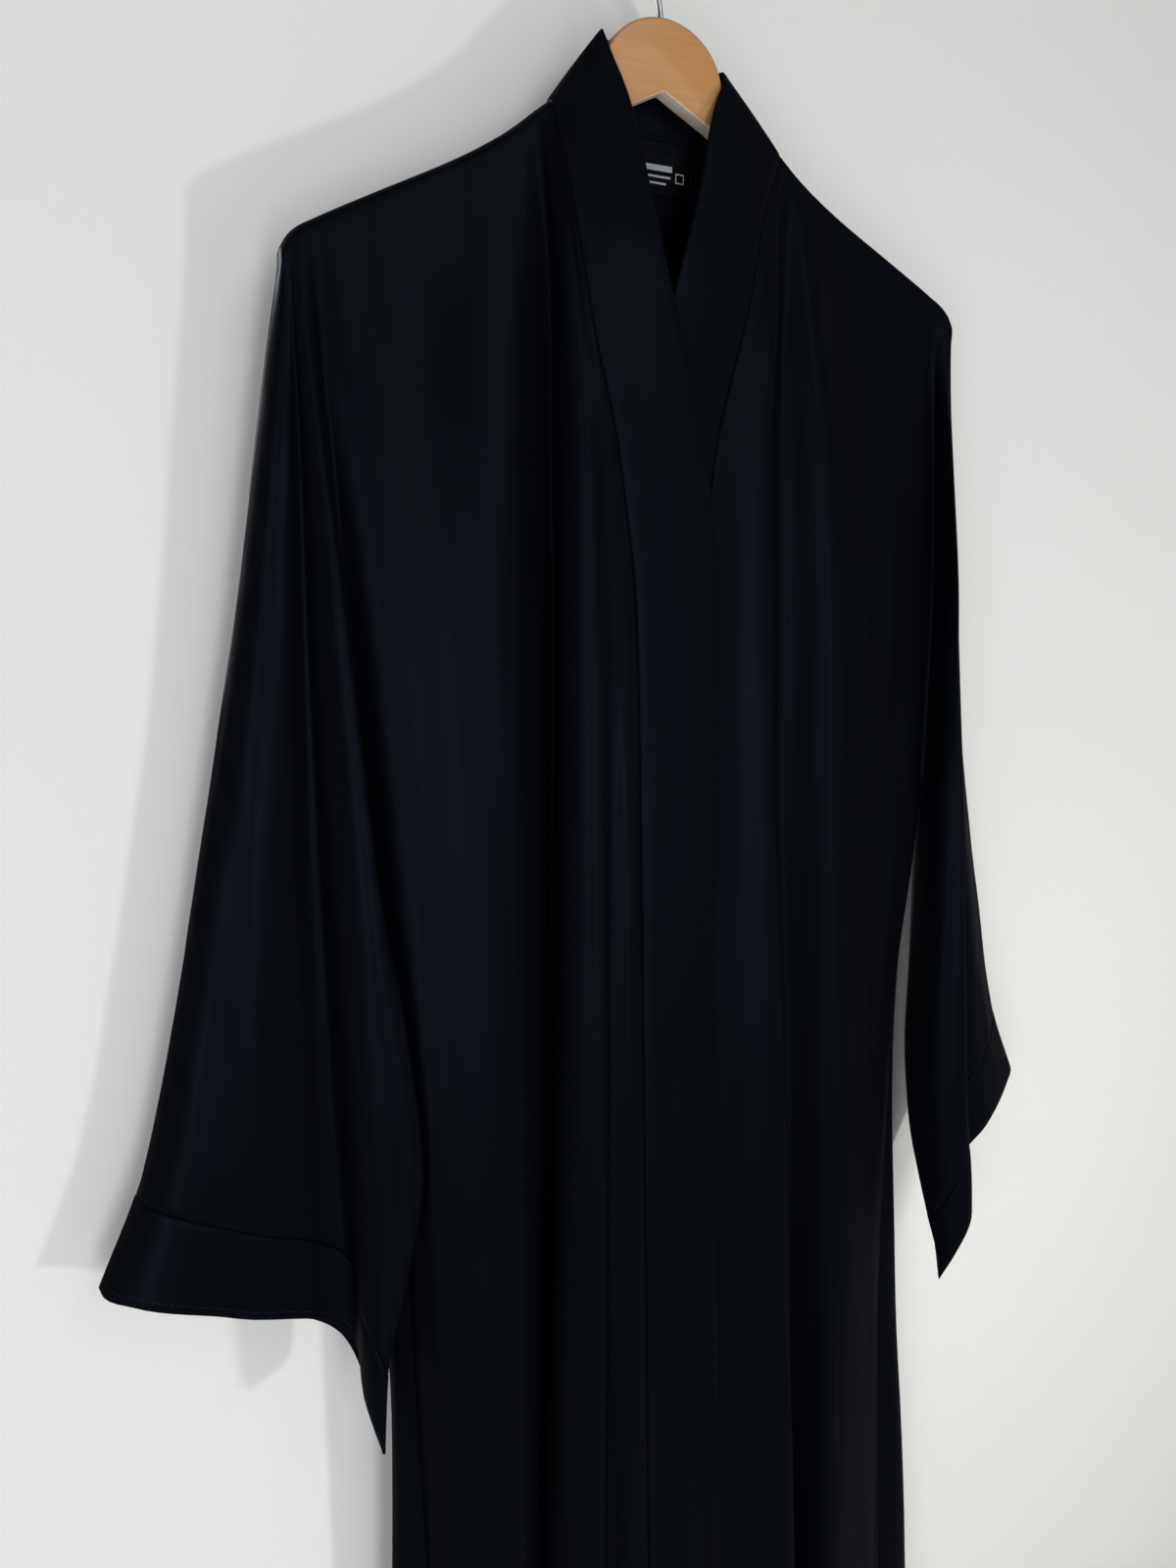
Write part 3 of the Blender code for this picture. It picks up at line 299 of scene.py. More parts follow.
# Free edge of the neckband down each front: drop of the seam beside it, then x, y and drop of the edge
FREE_EDGE_LEFT = (
    (116.7, -37, -1.5, 74.5),
    (124, -35.8, -8.5, 87),
    (133, -31, -11.5, 99),
    (146, -25.4, -16, 118),
    (160, -22.6, -22, 139),
    (177, -20.3, -28.5, 162),
    (200, -17.6, -38, 192),
    (228, -11.6, -42, 221.5),
    (286, 4.1, -45, 283),
    (327, 12.1, -45.5, 325.6),
    (357, 15.2, -45.5, 357),
    (500, 19.3, -45, 500),
    (700, 25, -44.5, 700),
    (900, 32.5, -44.5, 900),
    (1100, 40, -44.5, 1100),
    (1540, 46, -45, 1540),
)
FREE_EDGE_RIGHT = (
    (122.3, 40.5, -1.5, 83.5),
    (130, 38, -7.5, 91),
    (139, 32.8, -9.5, 101),
    (152, 25.2, -15, 118),
    (172, 19.2, -20, 139),
    (185, 13, -24, 160),
    (203, 0.5, -31, 191.5),
    (231, -9.5, -34.5, 221),
    (290, -25, -35.5, 283),
    (330, -32, -35.8, 326),
    (360, -35, -35.8, 358),
    (500, -35, -35.5, 500),
    (700, -30, -35, 700),
    (900, -24.5, -35, 900),
    (1100, -19, -35, 1100),
    (1540, -15, -36, 1540),
)
# The same edge round the back of the neck: x of the seam, then x, y and drop of the edge
FREE_EDGE_BACK = (
    (-70.5, -37, -1.5, 74.5),
    (-62, -35, 7, 74),
    (-48, -27, 11.5, 73.5),
    (-28, -16, 13.2, 73.5),
    (0, 0, 13.8, 74.5),
    (30, 18, 13.2, 76.5),
    (50, 29, 11.5, 79),
    (66, 37.5, 7, 82),
    (78, 40.5, -1.5, 83.5),
)

# Creases pressed into the form: piece, then x and drop of both ends, sideways bow, half-width and
# height in millimetres, where a negative height is a trough
CREASES = (
    ("front_left", -156.9, 780, -146.5, 900, 2, 6.0, -1.6),
    ("front_left", -166, 700, -158, 812, -2, 7.0, 1.1),
    ("front_left", -131.5, 780, -136, 1010, 3, 9.0, 1.3),
    ("front_left", -200, 206, -203.5, 300, 1, 3.5, -1.3),
    ("front_left", -259, 420, -287, 745, 5, 9.0, -1.6),
    ("front_left", -242, 420, -263, 750, -4, 10.0, 1.4),
    ("front_left", -120, 900, -128, 1400, 4, 12.0, -1.2),
    ("front_left", -150, 1060, -163, 1500, -5, 14.0, 1.5),
    ("front_left", -160.9, 182, -95, 150, 3, 4.0, -0.7),
    ("front_left", -127, 260, -121, 620, -3, 9.0, -0.9),
    ("front_right", 147.9, 215, 134.5, 490, 2, 4.5, 1.4),
    ("front_right", 170.6, 240, 166.7, 470, -2, 6.0, 1.1),
    ("front_right", 155.4, 205, 140.8, 310, 1, 4.0, -1.0),
    ("front_right", 135.9, 860, 144.2, 1060, 1, 4.5, -1.1),
    ("front_right", 181.9, 860, 201.4, 1180, 3, 8.0, 1.5),
    ("front_right", 277.6, 660, 303.3, 770, 1, 6.0, 1.2),
    ("front_right", 241, 420, 262, 700, 3, 8.0, -1.2),
    ("front_right", 158, 1100, 176, 1500, -4, 13.0, -1.3),
    ("front_right", 60, 700, 70, 1350, 4, 9.0, 1.0),
    ("front_right", 190, 480, 184, 720, 2, 5.5, -1.1),
    ("neckband", 6.6, 262, 15.5, 330, 1, 4.0, -0.8),
    ("neckband", -20, 640, -12, 980, 3, 9.0, 0.7),
    ("back", -118, 150, -134, 560, 6, 8.0, 1.2),
    ("back", -60, 130, -74, 420, -4, 7.0, -1.1),
    ("back", 22, 128, 14, 330, 3, 6.0, 1.0),
    ("back", 18.6, 154, 20.4, 184, 1, 3.0, -0.8),
    ("back", 96, 160, 118, 600, -5, 8.5, -1.3),
    ("back", 158, 190, 171, 470, 3, 6.0, 1.2),
    ("back", -150, 620, -168, 980, -6, 11.0, -1.5),
    ("back", -32, 560, -38, 1100, 5, 12.0, 1.3),
    ("back", 62, 700, 78, 1260, -6, 11.0, -1.2),
    ("back", 150, 900, 176, 1480, 5, 13.0, 1.5),
    ("back", -96, 1000, -118, 1500, 6, 13.0, 1.4),
    ("back", -236, 330, -268, 700, 5, 8.0, -1.5),
    ("back", 232, 340, 268, 690, -5, 8.0, -1.4),
    ("back", -214, 560, -222, 800, 2, 6.0, 1.1),
    ("back", 246, 600, 262, 820, 2, 6.0, 1.1),
)


def slopes_of(xs, ys):
    """Slopes of the monotone cubic through the points."""
    steps = [xs[i + 1] - xs[i] for i in range(len(xs) - 1)]
    rises = [(ys[i + 1] - ys[i]) / steps[i] for i in range(len(steps))]
    slopes = [rises[0]]
    for i in range(1, len(rises)):
        if rises[i - 1] * rises[i] <= 0:
            slopes.append(0.0)
            continue
        before = 2 * steps[i] + steps[i - 1]
        after = steps[i] + 2 * steps[i - 1]
        slopes.append((before + after) / (before / rises[i - 1] + after / rises[i]))
    slopes.append(rises[-1])
    return slopes


def smooth(xs, ys, x):
    """Value at x of the monotone cubic through (xs, ys), flat past both ends."""
    if x <= xs[0]:
        return ys[0]
    if x >= xs[-1]:
        return ys[-1]
    slopes = slopes_of(xs, ys)
    i = bisect.bisect_right(xs, x) - 1
    step = xs[i + 1] - xs[i]
    t = (x - xs[i]) / step
    first = (1 + 2 * t) * (1 - t) ** 2 * ys[i] + t * (1 - t) ** 2 * step * slopes[i]
    last = t * t * (3 - 2 * t) * ys[i + 1] + t * t * (t - 1) * step * slopes[i + 1]
    return first + last


def shoulder_drop(x):
    """Drop of the shoulder line at x."""
    return smooth(*zip(*SHOULDER), abs(x))


def top_drop(x):
    """Drop of the top edge of the back at x: the shoulder line, or the neckline between the shoulders."""
    if x <= NECK_LEFT or x >= NECK_RIGHT:
        return shoulder_drop(x)
    share = (x - NECK_LEFT) / (NECK_RIGHT - NECK_LEFT)
    left = shoulder_drop(NECK_LEFT)
    level = left + (shoulder_drop(NECK_RIGHT) - left) * share
    return level + NECK_DIP * math.sin(math.pi * share)


def neck_share(x):
    """0 on the shoulders, rising to 1 along the back neckline."""
    inside = min(x - NECK_LEFT, NECK_RIGHT - x) / NECK_TURN
    inside = min(1.0, max(0.0, inside))
    return inside * inside * (3 - 2 * inside)


def turn_share(down):
    """Share of the shoulder's half-depth that the cloth has reached at a distance below the shoulder line."""
    downs, shares = zip(*TURN)
    if down < downs[0]:
        return shares[0] * math.sqrt(down / downs[0])
    return smooth(downs, shares, down)


def turn_point(down, x, depth):
    """Point at x on one of the rows that turn over the hanger."""
    share = turn_share(down)
    share += (1 - share) * neck_share(x)
    return Vector((x, depth * share, -top_drop(x) - down))


class Line:
    """One line down the cloth: x and y against drop, from its place on the shoulder line."""

    def __init__(self, drops, row, depth):
        _, self.steps, self.top_x, xs, ys, *hem = row
        self.depth = depth
        self.hem = hem[0] if hem else HEM_DROP
        start = top_drop(self.top_x) + TURN_DOWNS[-1]
        self.drops = [start]
        self.xs = [self.top_x]
        self.ys = [depth]
        for drop, x, y in zip(drops, xs, ys):
            if x is not None and drop > start + FIRST_PLACE_GAP:
                self.drops.append(drop)
                self.xs.append(x)
                self.ys.append(y)

    def at(self, drop):
        return Vector((smooth(self.drops, self.xs, drop), smooth(self.drops, self.ys, drop), -drop))

    def upper(self, index):
        """Point on one of the upper rows, which turn over the hanger and run down to the underarm."""
        if index < len(TURN_DOWNS):
            return turn_point(TURN_DOWNS[index], self.top_x, self.depth)
        fraction = (index - len(TURN_DOWNS) + 1) / UPPER_ROWS
        return self.at(self.drops[0] + (UNDERARM_DROP - self.drops[0]) * fraction ** UPPER_ROW_SPREAD)


def back_fold_line(row, left, right):
    """A fold line of the back, between the turns of its two sides."""
    steps, top_x, share_hem, stand = row
    share_top = (top_x - left.top_x) / (right.top_x - left.top_x)
    xs = []
    ys = []
    for drop in BODY_DROPS:
        share = share_top + (share_hem - share_top) * drop / HEM_DROP
        start = left.at(drop)
        end = right.at(drop)
        depth = smooth(BACK_DROPS, BACK_DEPTH, drop) + smooth(BACK_DROPS, BACK_FOLD_SHARE, drop) * stand
        level = start.y + (end.y - start.y) * share
        edge = min(1.0, BACK_EDGE_RISE * math.sin(math.pi * share))
        xs.append(start.x + (end.x - start.x) * share)
        ys.append(level + (depth - level) * edge)
    return Line(BODY_DROPS, (None, steps, top_x, xs, ys), SHOULDER_HALF_DEPTH)


def shares_of(step, index, marks, gap):
    """Places of the columns after one line; a marked line has one more column close beside it."""
    count = step * FINE
    shares = [k / count for k in range(count)]
    near = min(SEAM_SIDE / gap, SEAM_SIDE_LIMIT / count)
    if index in marks:
        shares.insert(1, near)
    if index + 1 in marks:
        shares.append(1 - near)
    return shares


def across(points, steps, marks):
    """Smooth curve through the points, with the columns of each step after each one."""
    gaps = [max((points[i + 1] - points[i]).length, 1e-4) for i in range(len(points) - 1)]
    rises = [(points[i + 1] - points[i]) / gaps[i] for i in range(len(gaps))]
    slopes = [rises[0]]
    for i in range(1, len(rises)):
        weight = gaps[i] / (gaps[i - 1] + gaps[i])
        slopes.append(rises[i - 1] * weight + rises[i] * (1 - weight))
    slopes.append(rises[-1])
    curve = []
    for i, gap in enumerate(gaps):
        for t in shares_of(steps[i], i, marks, gap):
            curve.append(
                points[i] * (1 + 2 * t) * (1 - t) ** 2
                + slopes[i] * gap * t * (1 - t) ** 2
                + points[i + 1] * t * t * (3 - 2 * t)
                + slopes[i + 1] * gap * t * t * (t - 1)
            )
    curve.append(points[-1].copy())
    return curve


def steps_of(lines):
    return [line.steps for line in lines[:-1]]


def rows_between(lines, steps, marks, starts, ends, count, head=(), tail=()):
    """Rows from one drop to another on every line, with more rows close to the head or the tail."""
    length = sum(b - a for a, b in zip(starts, ends)) / len(starts)
    shares = [index / count for index in range(count + 1)]
    shares[1:1] = [distance / length for distance in head]
    shares[-1:-1] = [1 - distance / length for distance in tail]
    rows = []
    for share in shares:
        points = [line.at(a + (b - a) * share) for line, a, b in zip(lines, starts, ends)]
        rows.append(across(points, steps, marks))
    return rows


def sleeve_rows(lines):
    """Rows of the sleeve from the underarm to the cuff seam, and of the cuff from there to its hem."""
    underarm = [UNDERARM_DROP] * len(lines)
    seam = [line.hem - CUFF_DEPTH for line in lines]
    hem = [line.hem for line in lines]
    steps = steps_of(lines)
    marks = {0, len(steps)}
    arm = rows_between(lines, steps, marks, underarm, seam, ARM_ROWS, tail=(SEAM_SIDE,))
    cuff = rows_between(lines, steps, marks, seam, hem, CUFF_ROWS, head=(SEAM_SIDE,), tail=HEM_TAIL)
    return arm, cuff


def trunk_rows(lines, steps, marks):
    starts = [UNDERARM_DROP] * len(lines)
    return rows_between(lines, steps, marks, starts, [HEM_DROP] * len(lines), TRUNK_ROWS, tail=HEM_TAIL)


def settle(row, index):
    """Puts a row that turns over the hanger back on its own height, and on its depth round the neck."""
    down = TURN_DOWNS[index]
    for point in row:
        point.z = -top_drop(point.x) - down
        if NECK_LEFT < point.x < NECK_RIGHT:
            point.y = turn_point(down, point.x, SHOULDER_HALF_DEPTH).y


def upper_rows(lines, steps, marks):
    """Rows from the shoulder line to the underarm; the row on the shoulder line follows it exactly."""
    rows = []
    for index in range(len(TURN_DOWNS) + UPPER_ROWS):
        row = across([line.upper(index) for line in lines], steps, marks)
        if index < len(TURN_DOWNS):
            settle(row, index)
        rows.append(row)
    return rows


def front_rows(sleeve_table, body_table):
    """Rows of one front, from the overarm inwards: upper part, arm, cuff and trunk."""
    edge = Line(SLEEVE_DROPS, sleeve_table[0], 0)
    sleeve = [edge] + [Line(SLEEVE_DROPS, row, -SHOULDER_HALF_DEPTH) for row in sleeve_table[1:]]
    body = [Line(BODY_DROPS, row, -SHOULDER_HALF_DEPTH) for row in body_table]
    lines = sleeve[:-1] + body
    underarm = len(sleeve) - 1
    upper = upper_rows(lines, steps_of(lines), {0, underarm, len(lines) - 1})
    arm, cuff = sleeve_rows(sleeve)
    trunk = trunk_rows(body, steps_of(body), {0, len(body) - 1})
    split = len(arm[0]) - 1
    arm[0] = upper[-1][: split + 1]
    trunk[0] = upper[-1][split:]
    return {"upper": upper, "arm": arm, "cuff": cuff, "trunk": trunk, "split": split}


def back_sleeve(edge_row, rows, inner):
    """Lines of one sleeve's back, from the overarm inwards, ending on the given inner line."""
    edge = Line(SLEEVE_DROPS, edge_row, 0)
    return [edge] + [Line(SLEEVE_DROPS, row, SHOULDER_HALF_DEPTH) for row in rows] + [inner]


def back_side(sleeve_front, sleeve_back, valley, side, body):
    """Lines of one side of the back, from the overarm inwards: upper part, arm and trunk."""
    depth = SHOULDER_HALF_DEPTH
    turns = [Line(BODY_DROPS, row, depth) for row in side]
    upper = back_sleeve(sleeve_front[0], sleeve_back, Line(BODY_DROPS, valley, depth)) + turns
    arm = back_sleeve(sleeve_front[0], sleeve_back, Line(SLEEVE_DROPS, sleeve_front[-1], depth))
    return {"upper": upper, "arm": arm, "trunk": [Line(BODY_DROPS, body[0], depth)] + turns}


def back_marks(lines, underarm):
    """Lines of the back that a seam follows or ends on."""
    necks = {k for k, line in enumerate(lines) if line.top_x in (NECK_LEFT, NECK_RIGHT)}
    return necks | {0, underarm, len(lines) - 1 - underarm, len(lines) - 1}


def back_rows(fronts):
    """Rows of the back, from the left overarm to the right one, meeting the fronts on their seams."""
    left = back_side(FRONT_LEFT_SLEEVE, BACK_LEFT_SLEEVE, BACK_LEFT_VALLEY, BACK_LEFT_SIDE, FRONT_LEFT_BODY)
    right = back_side(
        FRONT_RIGHT_SLEEVE, BACK_RIGHT_SLEEVE, BACK_RIGHT_VALLEY, BACK_RIGHT_SIDE, FRONT_RIGHT_BODY
    )
    folds = [back_fold_line(row, left["trunk"][-1], right["trunk"][-1]) for row in BACK_FOLDS]
    blocks = {}
    for name in ("upper", "trunk"):
        lines = left[name] + folds + right[name][::-1]
        steps = steps_of(left[name] + folds + folds[-1:]) + steps_of(right[name])[::-1]
        if name == "upper":
            blocks[name] = upper_rows(lines, steps, back_marks(lines, len(left["arm"]) - 1))
        else:
            blocks[name] = trunk_rows(lines, steps, back_marks(lines, 0))
    meet_fronts(blocks["upper"], fronts)
    split = fronts[0]["split"]
    line = blocks["upper"][-1]
    arms = []
    for index, side in enumerate((left, right)):
        arm, cuff = sleeve_rows(side["arm"])
        arm[0] = line[: split + 1] if index == 0 else line[::-1][: split + 1]
        arms.append({"arm": arm, "cuff": cuff})
    blocks["trunk"][0] = line[split : len(line) - split]
    return blocks, arms


def meet_fronts(rows, fronts):
    """Moves the upper rows of the back sideways, so that its shoulder points are those of the fronts."""
    count = len(rows[0])
    tops = [point.copy() for point in rows[0]]
    wanted = list(tops)
    for index, point in enumerate(fronts[0]["upper"][0]):
        wanted[index] = point
    for index, point in enumerate(fronts[1]["upper"][0]):
        wanted[count - 1 - index] = point
    for number, row in enumerate(rows):
        for index, point in enumerate(row):
            below = tops[index].z - point.z
            share = max(0.0, 1 - below / MEET_LENGTH) ** 2
            point.x += (wanted[index].x - tops[index].x) * share
        if number < len(TURN_DOWNS):
            settle(row, number)
    for index in range(count):
        rows[0][index] = wanted[index].copy()


def free_edge(table, key):
    """Point of the neckband's free edge for a place on its seam."""
    keys, *columns = zip(*table)
    x, y, drop = (smooth(keys, column, key) for column in columns)
    return Vector((x, y, -drop))


def neckband_rows(fronts, back):
    """Rows across the neckband, seam to free edge, from the left hem round the neck to the right hem."""
    left, right = fronts
    sides = []
    for front, table in ((left, FREE_EDGE_LEFT), (right, FREE_EDGE_RIGHT)):
        seam = [row[-1] for row in front["upper"]] + [row[-1] for row in front["trunk"][1:]]
        sides.append([(point, free_edge(table, -point.z)) for point in seam])
    first = len(left["upper"][0]) - 1
    last = len(back["upper"][0]) - len(right["upper"][0])
    nape = [(point, free_edge(FREE_EDGE_BACK, point.x)) for point in back["upper"][0][first + 1 : last]]
    rows = []
    for seam, free in sides[0][::-1] + nape + sides[1]:
        width = (free - seam).length
        shares = [0, SEAM_SIDE / width] + [k / BAND_COLUMNS for k in range(1, BAND_COLUMNS)]
        shares += [1 - distance / width for distance in HEM_TAIL] + [1]
        rows.append([seam.lerp(free, share) for share in shares])
    return rows


class Cloth:
    """Every cut piece as quads on one shared set of points, so that neighbours agree along their seams."""

    def __init__(self):
        self.points = []
        self.index = {}
        self.pieces = {}
        self.flat = {}
        self.rise = {}
        self.thin = {}
        self.normal = []

    def number(self, point):
        key = tuple(round(value * STEPS_PER_MM) for value in point)
        if key not in self.index:
            self.index[key] = len(self.points)
            self.points.append(point.copy())
        return self.index[key]

    def add(self, name, rows, flip, centre=0, offset=0.0, way=1):
        """Adds a block of rows to a piece; the flat place of each point is measured from a centre column."""
        quads = self.pieces.setdefault(name, [])
        flat = self.flat.setdefault(name, {})
        numbers = [[self.number(point) for point in row] for row in rows]
        for row, ids in zip(rows, numbers):
            run = [0.0]
            for a, b in zip(row, row[1:]):
                run.append(run[-1] + (b - a).length)
            for i, at, point in zip(ids, run, row):
                flat.setdefault(i, (way * (at - run[centre]) + offset, -point.z))
        for upper, lower in zip(numbers, numbers[1:]):
            for i in range(len(upper) - 1):
                quad = [upper[i], lower[i], lower[i + 1], upper[i + 1]]
                quads.append(quad[::-1] if flip else quad)

    def thin_edge(self, rows):
        """Thins the wall along the folded edge that the rows end on."""
        for row, share in zip(rows[-2:], EDGE_WALL_SHARES):
            for point in row:
                self.thin[self.number(point)] = share

    def find_normals(self):
        found = [Vector() for _ in self.points]
        for quads in self.pieces.values():
            for quad in quads:
                a, b, c, d = (self.points[i] for i in quad)
                normal = (c - a).cross(d - b).normalized()
                for i in quad:
                    found[i] += normal
        self.normal = [normal.normalized() for normal in found]

    def edges(self, name):
        """The outer edges of a piece, each with the quad that it belongs to."""
        seen = {}
        for quad in self.pieces[name]:
            for i in range(4):
                a, b = quad[i], quad[(i + 1) % 4]
                if (b, a) in seen:
                    del seen[(b, a)]
                else:
                    seen[(a, b)] = quad
        return seen

    def seam_edges(self, name):
        """Outer edges of a piece that another piece shares."""
        others = set()
        for other in self.pieces:
            if other != name:
                others |= {(min(a, b), max(a, b)) for a, b in self.edges(other)}
        return {edge: quad for edge, quad in self.edges(name).items() if (min(edge), max(edge)) in others}

    def dip_seams(self, depth):
        """Sinks every seam a little, as a pressed seam does."""
        for name in self.pieces:
            for a, b in self.seam_edges(name):
                self.rise[a] = self.rise[b] = -depth

    def lift(self, name, amount_at):
        """Raises every point of a piece along its normal by amount_at(point, flat place)."""
        sunk = {i for edge in self.seam_edges(name) for i in edge}
        for i, place in self.flat[name].items():
            if i not in sunk:
                self.rise[i] = self.rise.get(i, 0.0) + amount_at(self.points[i], place)

    def seam_shifts(self, name, gap):
        """How far each seam point of a piece moves into the piece, to leave the seam's gap."""
        inward = {}
        for (a, b), quad in self.seam_edges(name).items():
            along = (self.points[b] - self.points[a]).normalized()
            middle = sum((self.points[i] for i in quad), Vector()) / 4 - self.points[a]
            into = (middle - along * middle.dot(along)).normalized()
            inward.setdefault(a, []).append(into)
            inward.setdefault(b, []).append(into)
        shifts = {}
        for i, ways in inward.items():
            way = sum(ways, Vector())
            shifts[i] = way.normalized() * (gap / 2) if way.length > 1e-6 else Vector()
        return shifts

    def surface(self, point, wall):
        """Place and normal on the outer face of the cloth at a point of the grid."""
        i = self.number(point)
        normal = self.normal[i]
        return self.points[i] + normal * (self.rise.get(i, 0.0) + wall / 2), normal

    def build(self, name, wall, gap):
        """Makes the closed shell of one piece and returns its object."""
        shifts = self.seam_shifts(name, gap)
        used = sorted({i for quad in self.pieces[name] for i in quad})
        count = len(used)
        local = {i: k for k, i in enumerate(used)}
        outer = []
        inner = []
        for i in used:
            middle = self.points[i] + shifts.get(i, Vector()) + self.normal[i] * self.rise.get(i, 0.0)
            half = self.normal[i] * (wall / 2 * self.thin.get(i, 1.0))
            outer.append(middle + half)
            inner.append(middle - half)
        faces = []
        for quad in self.pieces[name]:
            out = [local[i] for i in quad]
            faces.append(out)
            faces.append([i + count for i in reversed(out)])
        for start, end in self.edges(name):
            a, b = local[start], local[end]
            faces.append([b, a, a + count, b + count])
        flat = [self.flat[name][i] for i in used] * 2
        return mesh_object(name, outer + inner, faces, flat)


def mesh_object(name, points, faces, flat=None):
    """An object from points in millimetres, with flat places on the cloth as a UV map in metres."""
    mesh = bpy.data.meshes.new(name)
    mesh.from_pydata([tuple(point * MM) for point in points], [], faces)
    mesh.update()
    if flat:
        places = mesh.uv_layers.new(name="Cloth").data
        for loop in mesh.loops:
            u, v = flat[loop.vertex_index]
            places[loop.index].uv = (u * MM, v * MM)
    made = bpy.data.objects.new(name, mesh)
    bpy.context.scene.collection.objects.link(made)
    for face in mesh.polygons:
        face.use_smooth = True
    return made


CREASE_REACH = 3
# Slow unevenness of the cloth: width and length of one swell in millimetres, share of the height, and place
# in the noise
SWELLS = ((34, 240, 1.0, 3.7), (13, 95, 0.4, 9.1))
SHOULDER_FADE = 30


def crease_height(name, point):
    """Height of the creases of one piece at a point."""
    height = 0.0
    drop = -point.z
    for piece, x0, drop0, x1, drop1, bow, width, rise in CREASES:
        if piece != name:
            continue
        length = math.hypot(x1 - x0, drop1 - drop0)
        ax, ad = (x1 - x0) / length, (drop1 - drop0) / length
        along = ((point.x - x0) * ax + (drop - drop0) * ad) / length
        if not 0 < along < 1:
            continue
        side = (point.x - x0) * ad - (drop - drop0) * ax - bow * 4 * along * (1 - along)
        if abs(side) < CREASE_REACH * width:
            height += rise * math.sin(math.pi * along) ** 0.8 * math.exp(-((side / width) ** 2))
    return height


def slack_height(place, amount):
    """Slow unevenness of hanging cloth: long down the cloth, short across it."""
    u, v = place
    swells = (share * noise.noise(Vector((u / width, v / length, at))) for width, length, share, at in SWELLS)
    return amount * sum(swells)


def shoulder_fade(point):
    """0 on the shoulder line, where the hanger holds the cloth, rising to 1 a little below it."""
    return min(1.0, max(0.0, (-point.z - top_drop(point.x)) / SHOULDER_FADE))


def clear_selection():
    if bpy.context.mode != "OBJECT":
        bpy.ops.object.mode_set(mode="OBJECT")
    bpy.ops.object.select_all(action="DESELECT")


def choose(obj):
    """Makes one object the only selected one and the active one."""
    clear_selection()
    obj.select_set(True)
    bpy.context.view_layer.objects.active = obj


def place_in_mesh(obj):
    """Moves the object's place, turn and scale into its mesh."""
    choose(obj)
    bpy.ops.object.transform_apply(location=True, rotation=True, scale=True)


def add_bevel(obj, name, width, segments, degrees):
    """Rounds the edges that turn by more than the given angle."""
    edge = obj.modifiers.new(name, "BEVEL")
    edge.width = width
    edge.segments = segments
    edge.limit_method = "ANGLE"
    edge.angle_limit = math.radians(degrees)


def apply_modifiers(obj):
    choose(obj)
    for modifier in list(obj.modifiers):
        bpy.ops.object.modifier_apply(modifier=modifier.name)


def smooth_by_angle(obj, degrees):
    choose(obj)
    bpy.ops.object.shade_smooth_by_angle(angle=math.radians(degrees))


def dress(obj, *finishes):
    obj.data.materials.clear()
    for finish in finishes:
        obj.data.materials.append(finish)


# Materials


def new_material(name):
    made = bpy.data.materials.new(name)
    made.use_nodes = True
    return made, made.node_tree, made.node_tree.nodes["Principled BSDF"]


def feed(tree, node, inputs):
    """Links each input of a node that is given a socket, and sets the others."""
    for key, value in inputs.items():
        if isinstance(value, bpy.types.NodeSocket):
            tree.links.new(value, node.inputs[key])
        else:
            node.inputs[key].default_value = value


def add_node(tree, kind, inputs=None, **settings):
    made = tree.nodes.new(kind)
    for key, value in settings.items():
        setattr(made, key, value)
    feed(tree, made, inputs or {})
    return made


def maths(tree, operation, first, second=0.0, third=0.0):
    made = add_node(tree, "ShaderNodeMath", {0: first, 1: second, 2: third}, operation=operation)
    return made.outputs[0]


def band(tree, value, low, high, to_low=0.0, to_high=1.0):
    """Value mapped smoothly from low..high to to_low..to_high."""
    inputs = {"Value": value, "From Min": low, "From Max": high, "To Min": to_low, "To Max": to_high}
    made = add_node(tree, "ShaderNodeMapRange", inputs, interpolation_type="SMOOTHSTEP")
    return made.outputs["Result"]


def clouds(tree, place, scale, detail, distortion=0.0):
    inputs = {"Vector": place, "Scale": scale, "Detail": detail, "Distortion": distortion}
    return add_node(tree, "ShaderNodeTexNoise", inputs).outputs[0]


def stretched(tree, place, scale):
    return add_node(tree, "ShaderNodeMapping", {"Vector": place, "Scale": scale}).outputs[0]


def bump(tree, height, strength, distance):
    inputs = {"Height": height, "Strength": strength, "Distance": distance}
    return add_node(tree, "ShaderNodeBump", inputs).outputs[0]


def object_place(tree):
    return add_node(tree, "ShaderNodeTexCoord").outputs["Object"]


def parts_of(tree, place):
    """The x, y and z of a place."""
    return add_node(tree, "ShaderNodeSeparateXYZ", {0: place}).outputs


def scaled(colour, factor):
    return tuple(value * factor for value in colour[:3])


def mix_colour(tree, factor, first, second):
    inputs = {0: factor}
    for key, colour in ((6, first), (7, second)):
        is_socket = isinstance(colour, bpy.types.NodeSocket)
        inputs[key] = colour if is_socket else (*colour[:3], 1.0)
    return add_node(tree, "ShaderNodeMix", inputs, data_type="RGBA").outputs[2]


def new_group(name, sizes, results):
    """Shader node group that takes a place and named sizes and gives named values."""
    group = bpy.data.node_groups.new(name, "ShaderNodeTree")
    group.interface.new_socket("Place", in_out="INPUT", socket_type="NodeSocketVector")
    for label, default in sizes.items():
        socket = group.interface.new_socket(label, in_out="INPUT", socket_type="NodeSocketFloat")
        socket.default_value = default
    for label in results:
        group.interface.new_socket(label, in_out="OUTPUT", socket_type="NodeSocketFloat")
    return group, group.nodes.new("NodeGroupInput").outputs, group.nodes.new("NodeGroupOutput").inputs


